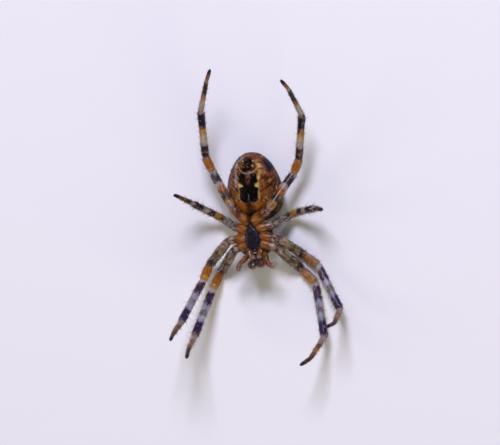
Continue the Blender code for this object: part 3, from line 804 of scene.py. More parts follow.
def fleck(point):
    """Even flecks a quarter of a millimetre wide."""
    return grain(point, 4.6) + 0.4 * grain(point, 11.0)


def palp_form(side, colours, plot):
    path = PALP_PATHS[side]
    points = [prosoma_place(along, SIDES[side] * out, height) for along, out, height, _ in path]
    sizes = [PALP_RADIUS * share for *_, share in path]

    def tint(share, angle, point):
        return layered(colours["deep_orange"], colours, ("umber", 0.8 * smooth(-0.05, 0.3, fleck(point))),
                       ("rose_brown", smooth(0.46, 0.52, share)),
                       ("rust" if side == "left" else "rose_bone", smooth(0.7, 0.8, share)))

    joints = ((0.28, 0.2, 0.025), (0.47, 0.2, 0.025), (0.68, 0.16, 0.02))
    return tube_form(f"palp_{side}", points, sizes, tint, plot, 20, 56, joints)


def legs():
    return [Leg(pair, side) for pair, side in LEG_POSE]


def skin_forms(colours):
    """All forms of the skin, each with its own rectangle of the unwrap."""
    forms = [abdomen_form(colours), pedicel_form(colours), pleura_form(colours)]
    for number, leg in enumerate(legs()):
        forms.append(leg.skin(colours, (0.005, 0.005 + 0.1 * number, 0.72, 0.088)))
    for number, side in enumerate(SIDES):
        forms.append(palp_form(side, colours, (0.735, 0.64 + 0.1 * number, 0.16, 0.08)))
    return forms


# ---------------------------------------------------------------- plates

def eye_places():
    """Node, centre and radius of each eye."""
    nodes = sorted(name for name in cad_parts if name.startswith("eye_"))
    boxes = [(node, *box_mm(node)) for node in nodes]
    return [(node, (low + high) / 2.0, max(high - low) / 2.0) for node, low, high in boxes]


COLLAR_RISE, COLLAR_REACH = 0.85, 1.45      # collar round an eye, in the eye's radii


def carapace_form(colours):
    """Pear-shaped shield with a broad thorax, a raised head, a groove between and a collar round each eye."""
    rear, front, top = 0.34, 4.28, 2.86
    eyes = eye_places()

    def place(station, angle):
        along = rear + station
        share = (along - rear) / (front - rear)
        headward = bow(max(0.0, share - 0.7) / 0.31, 3.0)
        thorax = 1.74 * bow((share - 0.37) / 0.43, 2.3)
        head = 0.8 * headward * min(1.0, 3.0 * share)
        width = math.log(math.exp(7.0 * thorax) + math.exp(7.0 * head)) / 7.0 + 0.06
        width *= min(1.0, bow(1.0 - min(1.0, share / 0.04), 2.0)) * (1.0 if share < 0.999 else 0.0)
        depth = mix(0.98, 1.3, min(1.0, share / 0.7)) * headward * bow(max(0.0, 0.4 - share) / 0.44, 2.4)
        across, up = rounded(angle, 2.4)
        aside = width * across
        rise = up * (0.1 if up > 0.0 else depth + 0.03)
        if up < 0.0:
            rise += 0.16 * ridge(math.hypot((along - 1.55) / 0.34, aside / 0.1), 1.0)
            groove = ridge(abs(aside) - mix(0.12, 0.95, smooth(1.7, 3.3, along)), 0.12)
            rise += 0.1 * groove * smooth(1.5, 2.2, along) * smooth(3.7, 3.0, along)
            spoke = abs(math.sin(2.0 * math.atan2(aside, 1.6 - along)))
            rise += 0.035 * spoke ** 6 * smooth(0.25, 0.6, abs(aside)) * smooth(2.6, 1.8, along)
        point = prosoma_place(along, aside, top - 0.1 + rise)
        core = prosoma_place(along - 0.8, 0.0, 2.4)
        for _, middle, radius in eyes:
            collar = COLLAR_RISE * radius * ridge((point - middle).length, COLLAR_REACH * radius)
            point += (point - core).normalized() * collar
        return point

    def tint(station, angle, point):
        along, aside = prosoma_coordinates(point)
        rim = math.hypot((along - 1.75) / 2.05, aside / 1.85)
        stripe = spot(aside, along - 2.3, mix(0.16, 0.42, smooth(1.6, 3.3, along)), 1.9, 0.35)
        near = min((point - middle).length / radius for _, middle, radius in eyes)
        return layered(colours["tan"], colours, ("olive_tan", smooth(-0.3, 0.4, fleck(point))),
                       ("umber", 0.85 * smooth(0.62, 0.72, rim) * smooth(0.98, 0.9, rim)),
                       ("umber", 0.8 * stripe), ("rust", 0.6 * smooth(3.7, 4.2, along)),
                       ("umber", smooth(2.1, 1.4, near)))

    stations = [0.0] + eased(0.004, front - rear, 112)
    return Form("carapace", stations, 112, place, tint, (0.02, 0.02, 0.5, 0.96))


# Half width of the breast plate, by the share of its length from behind
STERNUM_OUTLINE = ((0.0, 0.05), (0.08, 0.19), (0.2, 0.43), (0.33, 0.68), (0.42, 0.8), (0.52, 0.77),
                   (0.63, 0.85), (0.74, 0.77), (0.84, 0.76), (0.93, 0.58), (1.0, 0.36))


def closing(share, reach):
    """Rounds off both ends of a plate: 0 at its ends and 1 from this share of its length inwards."""
    return bow(1.0 - min(1.0, min(share, 1.0 - share) / reach), 2.0)


def sternum_form(colours):
    """Shield-shaped plate, pointed behind, with a corner between and a low knob facing each coxa."""
    rear, front, low, high = 0.3, 2.74, 2.95, 4.06

    def place(station, angle):
        share = station / (front - rear)
        width = 1.05 * outline_at(STERNUM_OUTLINE, share) * closing(share, 0.035)
        across, up = rounded(angle, 4.5)
        middle = mix(low, high - 0.08, 0.5)
        dome = 0.09 * max(0.0, up) * (1.0 - across ** 2) * bow(2.0 * share - 1.0, 2.0)
        point = prosoma_place(rear + station, width * across, middle + (high - 0.08 - middle) * up + dome)
        if up > 0.0:
            for knob, aside in ((0.3, 0.36), (0.52, 0.46), (0.74, 0.48)):
                near = math.hypot((share - knob) * 11.0, (abs(width * across) - aside) * 5.0)
                point.z += 0.05 * ridge(near, 1.0)
            point.z += 0.02 * grain(point, 2.6) + 0.01 * grain(point, 7.0)
        return point

    def tint(station, angle, point):
        return layered(colours["violet_black"], colours,
                       ("belly_black", smooth(-0.3, 0.3, grain(point, 3.0))),
                       ("plum_brown", 0.5 * smooth(0.0, 0.4, fleck(point))))

    return Form("sternum", eased(0.0, front - rear, 60), 72, place, tint, (0.54, 0.02, 0.3, 0.3))


def lobe_form(name, span, stops, place_at, tint, plot):
    """Form of a flattened lobe that runs forward along the prosoma."""
    start, end = span

    def place(station, angle):
        share = station / (end - start)
        across, up = rounded(angle, 2.6)
        return place_at(start + station, share, outline_at(stops, share) * closing(share, 0.08), across, up)

    return Form(name, eased(0.0, end - start, 28), 32, place, tint, plot)


def labium_form(colours):
    def place_at(along, share, size, across, up):
        return prosoma_place(along, 0.28 * size * across, 3.5 + 0.47 * up * size)

    def tint(station, angle, point):
        return blend(colours["violet_black"], colours["bone"], smooth(0.3, 0.42, station))

    stops = ((0.0, 0.9), (0.4, 1.0), (0.8, 0.85), (1.0, 0.6))
    return lobe_form("labium", (2.68, 3.22), stops, place_at, tint, WHOLE_CHART)


def maxilla_form(side, colours):
    sign = SIDES[side]

    def place_at(along, share, size, across, up):
        inner = mix(0.29, 0.06, smooth(0.3, 0.8, share))
        half = 0.29 * size
        return prosoma_place(along, sign * (inner + half + half * across), 3.48 + 0.51 * up * size)

    def tint(station, angle, point):
        _, aside = prosoma_coordinates(point)
        pale = max(smooth(0.72, 0.9, station), smooth(0.3, 0.2, abs(aside)) * smooth(0.4, 0.6, station))
        root = max(smooth(0.25, 0.05, station), smooth(0.5, 0.62, abs(aside)))
        return layered(colours["deep_orange"], colours, ("umber", 0.6 * smooth(-0.1, 0.35, fleck(point))),
                       ("umber", 0.8 * root), ("rose_bone", pale))

    stops = ((0.0, 0.8), (0.25, 1.0), (0.6, 1.12), (0.85, 1.0), (1.0, 0.7))
    plot = (0.55 + 0.2 * (sign + 1) / 2, 0.7, 0.18, 0.25)
    return lobe_form(f"maxilla_{side}", (2.68, 3.76), stops, place_at, tint, plot)


# Jaws in the prosoma's directions, with share of their radius
CHELICERA_RADIUS, FANG_RADIUS = 0.41, 0.1
CHELICERA_ASIDE = 0.425
CHELICERA_PATH = ((2.95, 3.92, 0.72), (3.15, 4.05, 0.96), (3.5, 4.18, 1.0), (3.85, 4.2, 1.0),
                  (4.15, 4.16, 0.95), (4.33, 4.1, 0.84))          # height, along, share of radius
FANG_PATH = ((4.3, 0.62, 4.2, 1.0), (4.22, 0.62, 4.38, 1.15), (4.08, 0.52, 4.46, 1.0),
             (3.95, 0.36, 4.47, 0.7), (3.84, 0.18, 4.44, 0.16))   # along, aside, height, share


def chelicera_form(side, colours):
    aside = SIDES[side] * CHELICERA_ASIDE
    points = [prosoma_place(along, aside, height) for height, along, _ in CHELICERA_PATH]

    def tint(share, angle, point):
        stripe = smooth(0.1, 0.0, abs(abs(prosoma_coordinates(point)[1]) - 0.5) - 0.07)
        return layered(colours["pale_orange"], colours, ("rust", smooth(-0.2, 0.4, fleck(point))),
                       ("umber", 0.8 * stripe), ("rust", smooth(0.5, 0.75, share)),
                       ("umber", 0.9 * smooth(0.66, 0.92, share)))

    sizes = [CHELICERA_RADIUS * share for *_, share in CHELICERA_PATH]
    plot = (0.55 + 0.2 * (SIDES[side] + 1) / 2, 0.36, 0.18, 0.3)
    return tube_form(f"chelicera_{side}", points, sizes, tint, plot, 32, 48, blunt=0.45)


def fang_form(side, colours):
    points = [prosoma_place(along, SIDES[side] * out, height) for along, out, height, _ in FANG_PATH]

    def tint(share, angle, point):
        return blend(colours["rust"], colours["violet_black"], smooth(0.3, 0.8, share))

    sizes = [FANG_RADIUS * share for *_, share in FANG_PATH]
    return tube_form(f"fang_{side}", points, sizes, tint, WHOLE_CHART, 14, 26)


# Pairs of cones: aside and along from the middle, radius, height, how far the foot stands out
SPINNERET_CONES = ((0.2, -0.15, 0.23, 0.55, 0.1), (0.2, 0.2, 0.2, 0.5, 0.05), (0.07, 0.03, 0.1, 0.42, 0.0))


def spinneret_forms(colours):
    """Two large pairs of cones, a small pair between them and the anal tubercle behind."""
    low, high = box_mm("spinnerets")
    middle = (low + high) / 2.0
    foot = low.z - 0.12
    forms = []
    for number, (aside, along, radius, reach, spread) in enumerate(SPINNERET_CONES):
        for side, sign in SIDES.items():
            root = Vector((middle.x + sign * (aside + spread), middle.y + along - 0.06, foot))
            tip = Vector((middle.x + sign * aside * 0.75, middle.y + along * 0.8 + 0.05, foot + 0.12 + reach))
            forms.append(cone_form(f"cone_{number}_{side}", root, tip, radius, colours))
    root = Vector((middle.x, middle.y + 0.42, foot - 0.05))
    forms.append(cone_form("tubercle", root, root + Vector((0.0, 0.14, 0.4)), 0.16, colours))
    return forms


def cone_form(name, root, tip, radius, colours):
    points = [mix(root, tip, share) for share in (0.0, 0.35, 0.7, 1.0)]
    sizes = [radius * share for share in (1.05, 1.0, 0.76, 0.42)]

    def tint(share, angle, point):
        return layered(colours["belly_black"], colours, ("umber", 0.7 * smooth(0.3, 0.7, share)),
                       ("tan", 0.35 * smooth(0.88, 0.98, share)))

    return tube_form(name, points, sizes, tint, WHOLE_CHART, 18, 22, ((0.62, 0.12, 0.03),))


def epigyne_form(colours):
    """The female's opening: a small dark plate with a wrinkled finger that points to the tail."""
    foot = box_mm("abdomen")[1].z - ABDOMEN_COAT
    x = BELLY_MIDDLE_X + 0.02
    points = [Vector((x, FURROW_Y + along, foot + rise))
              for along, rise in ((-0.22, -0.2), (-0.08, -0.02), (0.12, 0.02), (0.34, 0.0), (0.5, -0.02))]

    def tint(share, angle, point):
        return blend(colours["belly_black"], colours["umber"], smooth(0.4, 1.0, share))

    sizes = (0.17, 0.16, 0.11, 0.075, 0.05)
    wrinkles = tuple((0.45 + 0.09 * step, 0.14, 0.02) for step in range(5))
    return tube_form("epigyne", points, sizes, tint, WHOLE_CHART, 20, 60, wrinkles)


# ---------------------------------------------------------------- coat

HAIR_BENDS = 3               # lengths between which a hair can bend
HAIR_FULLNESS = 0.55         # how much fuller than a cone its shaft is
HAIR_PATCH = 0.003           # width of a hair's patch on the unwrap
FLOOR_GAP = 0.01             # distance that hairs keep from the floor and the low sides of the frame's box
COAT_STRAY = 0.05            # how far hairs may pass the high sides of the frame's box
SHORTEST_HAIR = 0.05
HAIR_ROOT = 0.01             # how deep a hair starts under the skin
HAIR_RADIUS = 0.009
HAIR_LEAN = (50.0, 72.0)     # degrees from upright towards the skin


def seta_template(segments):
    """Points and faces of one hair: a thin cone along +Z, one long and one wide at its root."""
    bm = bmesh.new()
    bmesh.ops.create_cone(bm, segments=segments, radius1=1.0, radius2=0.0, depth=1.0, cap_ends=False)
    bmesh.ops.translate(bm, verts=bm.verts, vec=(0.0, 0.0, 0.5))
    bmesh.ops.remove_doubles(bm, verts=bm.verts, dist=1e-5)
    for cut in range(1, HAIR_BENDS):
        bmesh.ops.bisect_plane(bm, geom=bm.verts[:] + bm.edges[:] + bm.faces[:],
                               plane_co=(0.0, 0.0, cut / HAIR_BENDS), plane_no=(0.0, 0.0, 1.0))
    bm.verts.index_update()
    points = np.array([vert.co for vert in bm.verts])
    faces = [[vert.index for vert in face.verts] for face in bm.faces]
    bm.free()
    points[:, :2] *= (1.0 + HAIR_FULLNESS * points[:, 2:3])
    return points, faces


def fitted(seta):
    """The hair cut short where its tip would leave the frame's box, or nothing where it has no room."""
    along = (seta.along - seta.out * seta.out.dot(seta.along)).normalized()
    cosine, sine = math.cos(seta.lean), math.sin(seta.lean)
    reach = seta.out * (cosine - sine * seta.bow) + along * (sine + cosine * seta.bow)
    low, high = (Vector(corner) / MM for corner in CAD_BOX)
    room = seta.length
    for axis in range(3):
        if reach[axis] < 0.0:
            room = min(room, (low[axis] + FLOOR_GAP - seta.root[axis]) / reach[axis])
        elif reach[axis] > 0.0:
            room = min(room, (high[axis] + COAT_STRAY - seta.root[axis]) / reach[axis])
    return seta._replace(length=room) if room > SHORTEST_HAIR else None


def coat_mesh(name, setae, template):
    """One mesh of many hairs: the template copied, leant and bowed along each hair's own axes."""
    setae = [seta for seta in map(fitted, setae) if seta]
    points, faces = template
    count, size = len(setae), len(points)
    column = {field: np.array(values, dtype=float) for field, values in zip(Seta._fields, zip(*setae))}
    out, along = column["out"], column["along"]
    along = along - out * (out * along).sum(1, keepdims=True)
    along /= np.linalg.norm(along, axis=1, keepdims=True)
    flank = np.cross(out, along)
    cosine, sine = np.cos(column["lean"])[:, None], np.sin(column["lean"])[:, None]
    shaft = out * cosine + along * sine
    front = along * cosine - out * sine
    x, y, z = points.T
    radius, length = column["radius"][:, None, None], column["length"][:, None, None]
    bent = (column["bow"][:, None] * z ** 2)[:, :, None]
    verts = (column["root"][:, None] + flank[:, None] * radius * x[None, :, None]
             + front[:, None] * (radius * y[None, :, None] + length * bent)
             + shaft[:, None] * length * z[None, :, None])
    corners = np.array([corner for face in faces for corner in face])
    sizes = np.array([len(face) for face in faces])
    mesh = bpy.data.meshes.new(name)
    mesh.vertices.add(count * size)
    mesh.vertices.foreach_set("co", (verts * MM).astype(np.float32).ravel())
    mesh.loops.add(count * len(corners))
    spread = (corners[None] + size * np.arange(count)[:, None]).ravel()
    mesh.loops.foreach_set("vertex_index", spread.astype(np.int32))
    mesh.polygons.add(count * len(faces))
    starts = np.concatenate([[0], np.cumsum(np.tile(sizes, count))[:-1]])
    mesh.polygons.foreach_set("loop_start", starts.astype(np.int32))
    mesh.update(calc_edges=True)
    shade = mesh.attributes.new("tint", "FLOAT_COLOR", "POINT")
    share = z[None, :, None]
    tones = column["colour"][:, None] * (1.0 - share) + column["tip_colour"][:, None] * share
    shade.data.foreach_set("color", tones.astype(np.float32).ravel())
    chart = mesh.uv_layers.new(name="OFBake")
    patch = np.stack([np.arctan2(y, x) / TAU, z - 0.5], 1) * HAIR_PATCH
    places = column["spot"][:, None] + patch[corners][None]
    chart.uv.foreach_set("vector", places.astype(np.float32).ravel())
    mesh.shade_smooth()
    return mesh


def outward_at(form, station, angle):
    """Root of a hair on a form, the direction out of the skin, and the direction along the form."""
    step = 0.02
    root = form.place(station, angle)
    later = form.place(min(form.stations[-1], station + step), angle)
    earlier = form.place(max(0.0, station - step), angle)
    beside = form.place(station, angle + 0.05) - form.place(station, angle - 0.05)
    along = later - earlier
    out = along.cross(beside)
    centre = (root + form.place(station, angle + math.pi)) / 2.0
    if out.dot(root - centre) < 0.0:
        out.negate()
    if along.length < 1e-6 or out.length < 1e-9:
        return root, None, None
    return root, out.normalized(), along.normalized()


def hair_tones(tone, colours, chance, paleness):
    """Root and tip colour of a hair: pale where the skin is pale, dark on the dark bands."""
    bright = 0.3 * tone[0] + 0.6 * tone[1] + 0.1 * tone[2]
    pale, dark = colours["hair_pale"], colours["hair_dark"]
    paleness *= 0.25 + 0.75 * smooth(0.0, 0.06, bright)
    if chance > 0.3 + 0.6 * smooth(0.01, 0.12, bright):
        return dark, blend(dark, pale, 0.25 * paleness)
    return blend(tone, pale, 0.45 * paleness), blend(tone, pale, paleness)


LONGEST_LEG = 18.55
FIRST_LEG_HAIR = 0.35        # distance from a leg's root at which its hairs start
ROOT_PALENESS, LEG_PALENESS = 0.28, 0.45     # of the hairs before and after the end of the femur
COXA_HAIRS, FEMUR_HAIRS = 0.35, 0.6          # share of the hairs kept there
LEG_HAIR_LENGTH = (0.27, 0.15)               # near the body, near the foot
LEG_HAIR_RADIUS = (0.006, 0.0095)
SPINE_RADIUS = 0.03
SPINE_ROOT = 0.02            # how deep a spine starts under the skin
SPINES = (                   # femur to metatarsus: its number, shares along it with a ring, count, scale
    (1, (0.35, 0.5, 0.66, 0.82, 0.93), 4, 0.75),
    (2, (0.25, 0.55, 0.85), 3, 1.0),
    (3, (0.12, 0.26, 0.4, 0.54, 0.68, 0.82, 0.94), 5, 1.0),
    (4, (0.1, 0.26, 0.42, 0.58, 0.74), 4, 0.75),
)


def leg_setae(leg, form, colours, sizes, dice):
    """Fine hairs of one leg: shorter towards the foot, all leaning towards its tip."""
    found = []
    for _ in range(round(sizes.leg_hairs * leg.total / LONGEST_LEG)):
        distance = dice.uniform(FIRST_LEG_HAIR, leg.total - 0.05)
        station = leg.station(distance)
        angle = dice.uniform(0.0, TAU)
        if station < 2.0 and dice.random() > (FEMUR_HAIRS if station > 1.0 else COXA_HAIRS):
            continue
        root, out, along = outward_at(form, distance, angle)
        if out is None:
            continue
        colour, tip = hair_tones(form.tint(distance, angle, root), colours, dice.random(),
                                 ROOT_PALENESS if station < 2.0 else LEG_PALENESS)
        length = mix(*LEG_HAIR_LENGTH, smooth(3.6, 6.0, station)) * dice.uniform(0.6, 1.25)
        lean = math.radians(dice.uniform(48.0, 70.0))
        found.append(Seta(root - out * HAIR_ROOT, along, out, length, dice.uniform(*LEG_HAIR_RADIUS), lean,
                          dice.uniform(0.02, 0.16), colour, tip,
                          plotted(form.plot, distance / leg.total, angle)))
    return found


def leg_spines(leg, form, colours, sizes, dice):
    """Strong pale spines in rings on the femur, patella, tibia and metatarsus."""
    found = []
    for number, shares, count, scale in SPINES:
        for share in shares:
            first = dice.uniform(0.0, TAU)
            for step in range(count):
                distance = leg.starts[number] + (share + dice.uniform(-0.02, 0.02)) * leg.lengths[number]
                angle = first + TAU * step / count + dice.uniform(-0.25, 0.25)
                root, out, along = outward_at(form, distance, angle)
                length = sizes.spine_length / MM * scale * dice.uniform(0.75, 1.2)
                found.append(Seta(root - out * SPINE_ROOT, along, out, length, SPINE_RADIUS,
                                  math.radians(dice.uniform(20, 44)), dice.uniform(0.0, 0.14),
                                  colours["spine_root"], colours["spine_pale"],
                                  plotted(form.plot, distance / leg.total, angle % TAU)))
    return found


BRUSH_HAIRS, BRUSH_RADIUS = 75, 0.012


def palp_brush(form, colours, dice):
    """Long pale bristles on the last third of a palp."""
    found = []
    for _ in range(BRUSH_HAIRS):
        share, angle = dice.uniform(0.6, 0.98), dice.uniform(0.0, TAU)
        root, out, along = outward_at(form, share, angle)
        if out is None:
            continue
        found.append(Seta(root - out * HAIR_ROOT, along, out, dice.uniform(0.3, 0.5), BRUSH_RADIUS,
                          math.radians(dice.uniform(28.0, 55.0)), dice.uniform(0.05, 0.2),
                          colours["spine_root"], colours["spine_pale"], plotted(form.plot, share, angle)))
    return found


def body_setae(form, count, length, colours, dice, keep, lean=HAIR_LEAN, paleness=0.45):
    """Short hairs over a body form, lying along it."""
    found = []
    for _ in range(count):
        station = dice.uniform(0.02, 0.98) * form.stations[-1]
        angle = dice.uniform(0.0, TAU)
        root, out, along = outward_at(form, station, angle)
        if out is None or not keep(root, out):
            continue
        colour, tip = hair_tones(form.tint(station, angle, root), colours, dice.random(), paleness)
        found.append(Seta(root - out * HAIR_ROOT, along, out, length * dice.uniform(0.6, 1.3),
                          HAIR_RADIUS * dice.uniform(0.8, 1.2), math.radians(dice.uniform(*lean)),
                          dice.uniform(0.05, 0.25), colour, tip,
                          plotted(form.plot, station / form.stations[-1], angle)))
    return found


# ---------------------------------------------------------------- materials

def add(tree, kind, inputs=None, **settings):
    """Adds a node: settings are its properties, inputs its sockets' values or what they're linked to."""
    made = tree.nodes.new(kind)
    for name, value in settings.items():
        setattr(made, name, value)
    for name, value in (inputs or {}).items():
        if isinstance(value, bpy.types.NodeSocket):
            tree.links.new(value, made.inputs[name])
        else:
            made.inputs[name].default_value = value
    return made


CHITIN_IOR = 1.55
MIX_FACTOR, MIX_FIRST, MIX_SECOND, MIX_RESULT = 0, 6, 7, 2      # a colour mix's sockets

# Pattern scales: one over the size of the real feature, in metres
SPECK_SCALE = 5200.0         # specks of 0.2 mm
WORN_SCALE = 1900.0          # patches of half a millimetre, in which the dark specks lie
PORE_SCALE = 11000.0         # hair sockets 0.09 mm apart
WRINKLE_SCALE = 6500.0       # wrinkles 0.15 mm apart
PORE_DEPTH = 0.00002
SPECK_DARK, SPECK_LIGHT = "#1E120C", "#C4AE86"


def shell(name, roughness, coat, coat_roughness, bump, speckle=0.0, plain=None, specular=0.5):
    """A chitin finish: the skin's own colours, fine speckles, and a bump of pores and wrinkles."""
    material = bpy.data.materials.new(name)
    material.use_nodes = True
    tree = material.node_tree
    tree.nodes.clear()
    place = add(tree, "ShaderNodeTexCoord").outputs["Object"]
    settings = {"Roughness": roughness, "Coat Weight": coat, "Coat Roughness": coat_roughness,
                "IOR": CHITIN_IOR, "Specular IOR Level": specular}
    if plain is not None:
        settings["Base Color"] = (*linear(plain), 1.0)
    else:
        tone = add(tree, "ShaderNodeAttribute", attribute_name="tint")
        colour, mottle = tone.outputs["Color"], tone.outputs["Alpha"]
        if speckle:
            fine = add(tree, "ShaderNodeTexNoise", {"Vector": place, "Scale": SPECK_SCALE, "Detail": 5.0,
                                                    "Roughness": 0.65}).outputs["Fac"]
            coarse = add(tree, "ShaderNodeTexNoise",
                         {"Vector": place, "Scale": WORN_SCALE, "Detail": 2.0}).outputs["Fac"]
            worn = add(tree, "ShaderNodeMapRange", {"Value": coarse, "From Min": 0.42,
                                                    "From Max": 0.6}).outputs["Result"]
            for code, low, high, start, end, factors in (
                    (SPECK_DARK, 0.4, 0.62, 1.0, 0.0, (worn, mottle, speckle)),
                    (SPECK_LIGHT, 0.56, 0.72, 0.0, 0.3, (mottle,))):
                share = add(tree, "ShaderNodeMapRange", {"Value": fine, "From Min": low, "From Max": high,
                                                         "To Min": start, "To Max": end}).outputs["Result"]
                for factor in factors:
                    share = add(tree, "ShaderNodeMath", {0: share, 1: factor},
                                operation="MULTIPLY").outputs[0]
                colour = add(tree, "ShaderNodeMix", {MIX_FACTOR: share, MIX_FIRST: colour,
                                                     MIX_SECOND: (*linear(code), 1.0)},
                             data_type="RGBA").outputs[MIX_RESULT]
        settings["Base Color"] = colour
    if bump:
        pores = add(tree, "ShaderNodeTexVoronoi", {"Vector": place, "Scale": PORE_SCALE})
        wrinkles = add(tree, "ShaderNodeTexNoise", {"Vector": place, "Scale": WRINKLE_SCALE, "Detail": 4.0})
        height = add(tree, "ShaderNodeMath", {0: pores.outputs["Distance"], 1: wrinkles.outputs["Fac"]},
                     operation="ADD")
        bumped = add(tree, "ShaderNodeBump", {"Strength": bump, "Distance": PORE_DEPTH,
                                              "Height": height.outputs["Value"]})
        settings["Normal"] = bumped.outputs["Normal"]
    surface = add(tree, "ShaderNodeBsdfPrincipled", settings)
    add(tree, "ShaderNodeOutputMaterial", {"Surface": surface.outputs["BSDF"]})
    return material


FINISHES = {
    # Sclerotised leg cuticle: waxy, with an even shine broken by hair sockets
    "leg_cuticle": dict(roughness=0.29, coat=0.06, coat_roughness=0.18, bump=0.2, speckle=0.85,
                        specular=0.18),
    # Soft abdominal cuticle: thinner and more satin, finely folded
    "abdomen_cuticle": dict(roughness=0.27, coat=0.0, coat_roughness=0.2, bump=0.25, speckle=0.9,
                            specular=0.04),
    # Hard plates: polished chitin with small pits
    "plate_cuticle": dict(roughness=0.3, coat=0.15, coat_roughness=0.12, bump=0.35, speckle=0.5,
                          specular=0.3),
    # Breast plate: blue-black chitin, pebbled, so that its shine breaks into small glints
    "sternum_cuticle": dict(roughness=0.36, coat=0.12, coat_roughness=0.25, bump=0.6, specular=0.18),
    # Cornea: clear, wet-looking and black behind
    "cornea": dict(roughness=0.04, coat=1.0, coat_roughness=0.02, bump=0.0, plain="#0D0B0D"),
    # Claw horn: dark, dense and smooth
    "claw_horn": dict(roughness=0.25, coat=0.4, coat_roughness=0.1, bump=0.0, plain="#1D120D"),
    # Setae: thin, lightly polished shafts of chitin
    "seta": dict(roughness=0.45, coat=0.0, coat_roughness=0.3, bump=0.0, specular=0.16),
}


def materials():
    """Every finish, made once and kept by name."""
    return {name: bpy.data.materials.get(name) or shell(name, **values)
            for name, values in FINISHES.items()}


# ---------------------------------------------------------------- properties

COLOUR_CODES = {             # colour and how strongly specks and streaks break it up
    "orange": ("#9C5A08", 0.3), "pale_orange": ("#A0703A", 0.6), "deep_orange": ("#8A4C0A", 0.3),
    "amber": ("#B27C0E", 0.25), "gold": ("#D6A85A", 0.3), "yellow": ("#B49C58", 0.1),
    "cream": ("#B98F52", 0.4), "straw": ("#AB9868", 0.5), "tan": ("#8F6E3E", 0.6),
    "olive_tan": ("#7B6B46", 1.0), "bone": ("#A39482", 0.5), "ash": ("#70675C", 0.8),
    "rose_bone": ("#9E8279", 0.5), "rose_brown": ("#7E4634", 0.4), "rust": ("#6B3412", 0.4),
    "umber": ("#2B1710", 0.4), "lilac_white": ("#A39DAF", 0.4), "lilac_cream": ("#AE9E94", 0.3),
    # violet: the dark leg bands' own near-black, tinted purple by a painted sheen
    "plum_brown": ("#2A1826", 0.15), "violet": ("#25123E", 0.0), "violet_black": ("#100B20", 0.0),
    "belly_black": ("#080404", 0.0), "joint_pale": ("#80644A", 0.3), "hair_pale": ("#C9C1BC", 0.0),
    "hair_dark": ("#24160F", 0.0), "spine_root": ("#8F8078", 0.0), "spine_pale": ("#DAD4D2", 0.0),
}


class SpiderColours(bpy.types.PropertyGroup):
    """Colours of the skin, the plates and the hairs."""


for _name, (_code, _) in COLOUR_CODES.items():
    _words = _name.replace("_", " ")
    SpiderColours.__annotations__[_name] = FloatVectorProperty(
        name=_words.capitalize(), description=f"Colour of the {_words} parts", subtype="COLOR", size=3,
        min=0.0, max=1.0, default=linear(_code))


class SpiderSizes(bpy.types.PropertyGroup):
    """Sizes and counts of the coat."""

    leg_hairs: IntProperty(name="Leg hairs", description="Fine hairs on the longest leg", default=2300, min=0)
    abdomen_hairs: IntProperty(name="Abdomen hairs", description="Short hairs on the abdomen",
                               default=4200, min=0)
    head_hairs: IntProperty(name="Head hairs", description="Hairs on the shield of the head and thorax",
                            default=2800, min=0)
    spine_length: FloatProperty(name="Spine length", description="Length of a leg's strong spines",
                                default=0.55 * MM, min=0.0, unit="LENGTH", precision=6)


def palette(context):
    colours = context.scene.spider_colours
    return {name: (*getattr(colours, name), mottle) for name, (_, mottle) in COLOUR_CODES.items()}


# ---------------------------------------------------------------- operators

class SPIDER_OT_skin(bpy.types.Operator):
    """Builds the one skin of the abdomen, the legs and the palps"""

    bl_idname = "spider.skin"
    bl_label = "Skin"

    def execute(self, context):
        check_legs()
        look = materials()
        flesh = [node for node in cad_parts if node.startswith(("leg_", "palp_"))]
        finish(joined([wrapped(form) for form in skin_forms(palette(context))]), "skin",
               [look["leg_cuticle"], look["abdomen_cuticle"]], flesh + ["abdomen", "pedicel"])
        return {"FINISHED"}


def make_plate(form, name, material, node):
    """One hard piece from one form, with the whole of its unwrap to itself."""
    finish(wrapped(form._replace(plot=WHOLE_CHART)), name, [materials()[material]], node)


class SPIDER_OT_plates(bpy.types.Operator):
    """Builds the hard plates: carapace, sternum, lip, maxillae and epigyne"""

    bl_idname = "spider.plates"
    bl_label = "Plates"

    def execute(self, context):
        colours = palette(context)
        make_plate(carapace_form(colours), "carapace_shield", "plate_cuticle", ["carapace"])
        make_plate(sternum_form(colours), "sternum_plate", "sternum_cuticle", ["sternum"])
        make_plate(labium_form(colours), "labium_plate", "sternum_cuticle", ["labium"])
        for side in SIDES:
            make_plate(maxilla_form(side, colours), f"maxilla_plate_{side}", "plate_cuticle",
                       [f"maxilla_{side}"])
        make_plate(epigyne_form(colours), "epigyne", "plate_cuticle", [])
        return {"FINISHED"}


class SPIDER_OT_jaws(bpy.types.Operator):
    """Builds the chelicerae and their fangs"""

    bl_idname = "spider.jaws"
    bl_label = "Jaws"

    def execute(self, context):
        colours = palette(context)
        for side in SIDES:
            make_plate(chelicera_form(side, colours), f"jaw_{side}", "plate_cuticle",
                       [f"chelicera_{side}"])
            make_plate(fang_form(side, colours), f"jaw_fang_{side}", "sternum_cuticle",
                       [f"fang_{side}"])
        return {"FINISHED"}


class SPIDER_OT_eyes(bpy.types.Operator):
    """Builds the eight eyes, each a polished dome on the head"""

    bl_idname = "spider.eyes"
    bl_label = "Eyes"

    def execute(self, context):
        for node, middle, radius in eye_places():
            bm = bmesh.new()
            bmesh.ops.create_uvsphere(bm, u_segments=28, v_segments=18, radius=radius,
                                      matrix=Matrix.Translation(middle))
            for face in bm.faces:
                face.smooth = True
            finish(bm, node.replace("eye_", "lens_"), [materials()["cornea"]], [node])
        return {"FINISHED"}


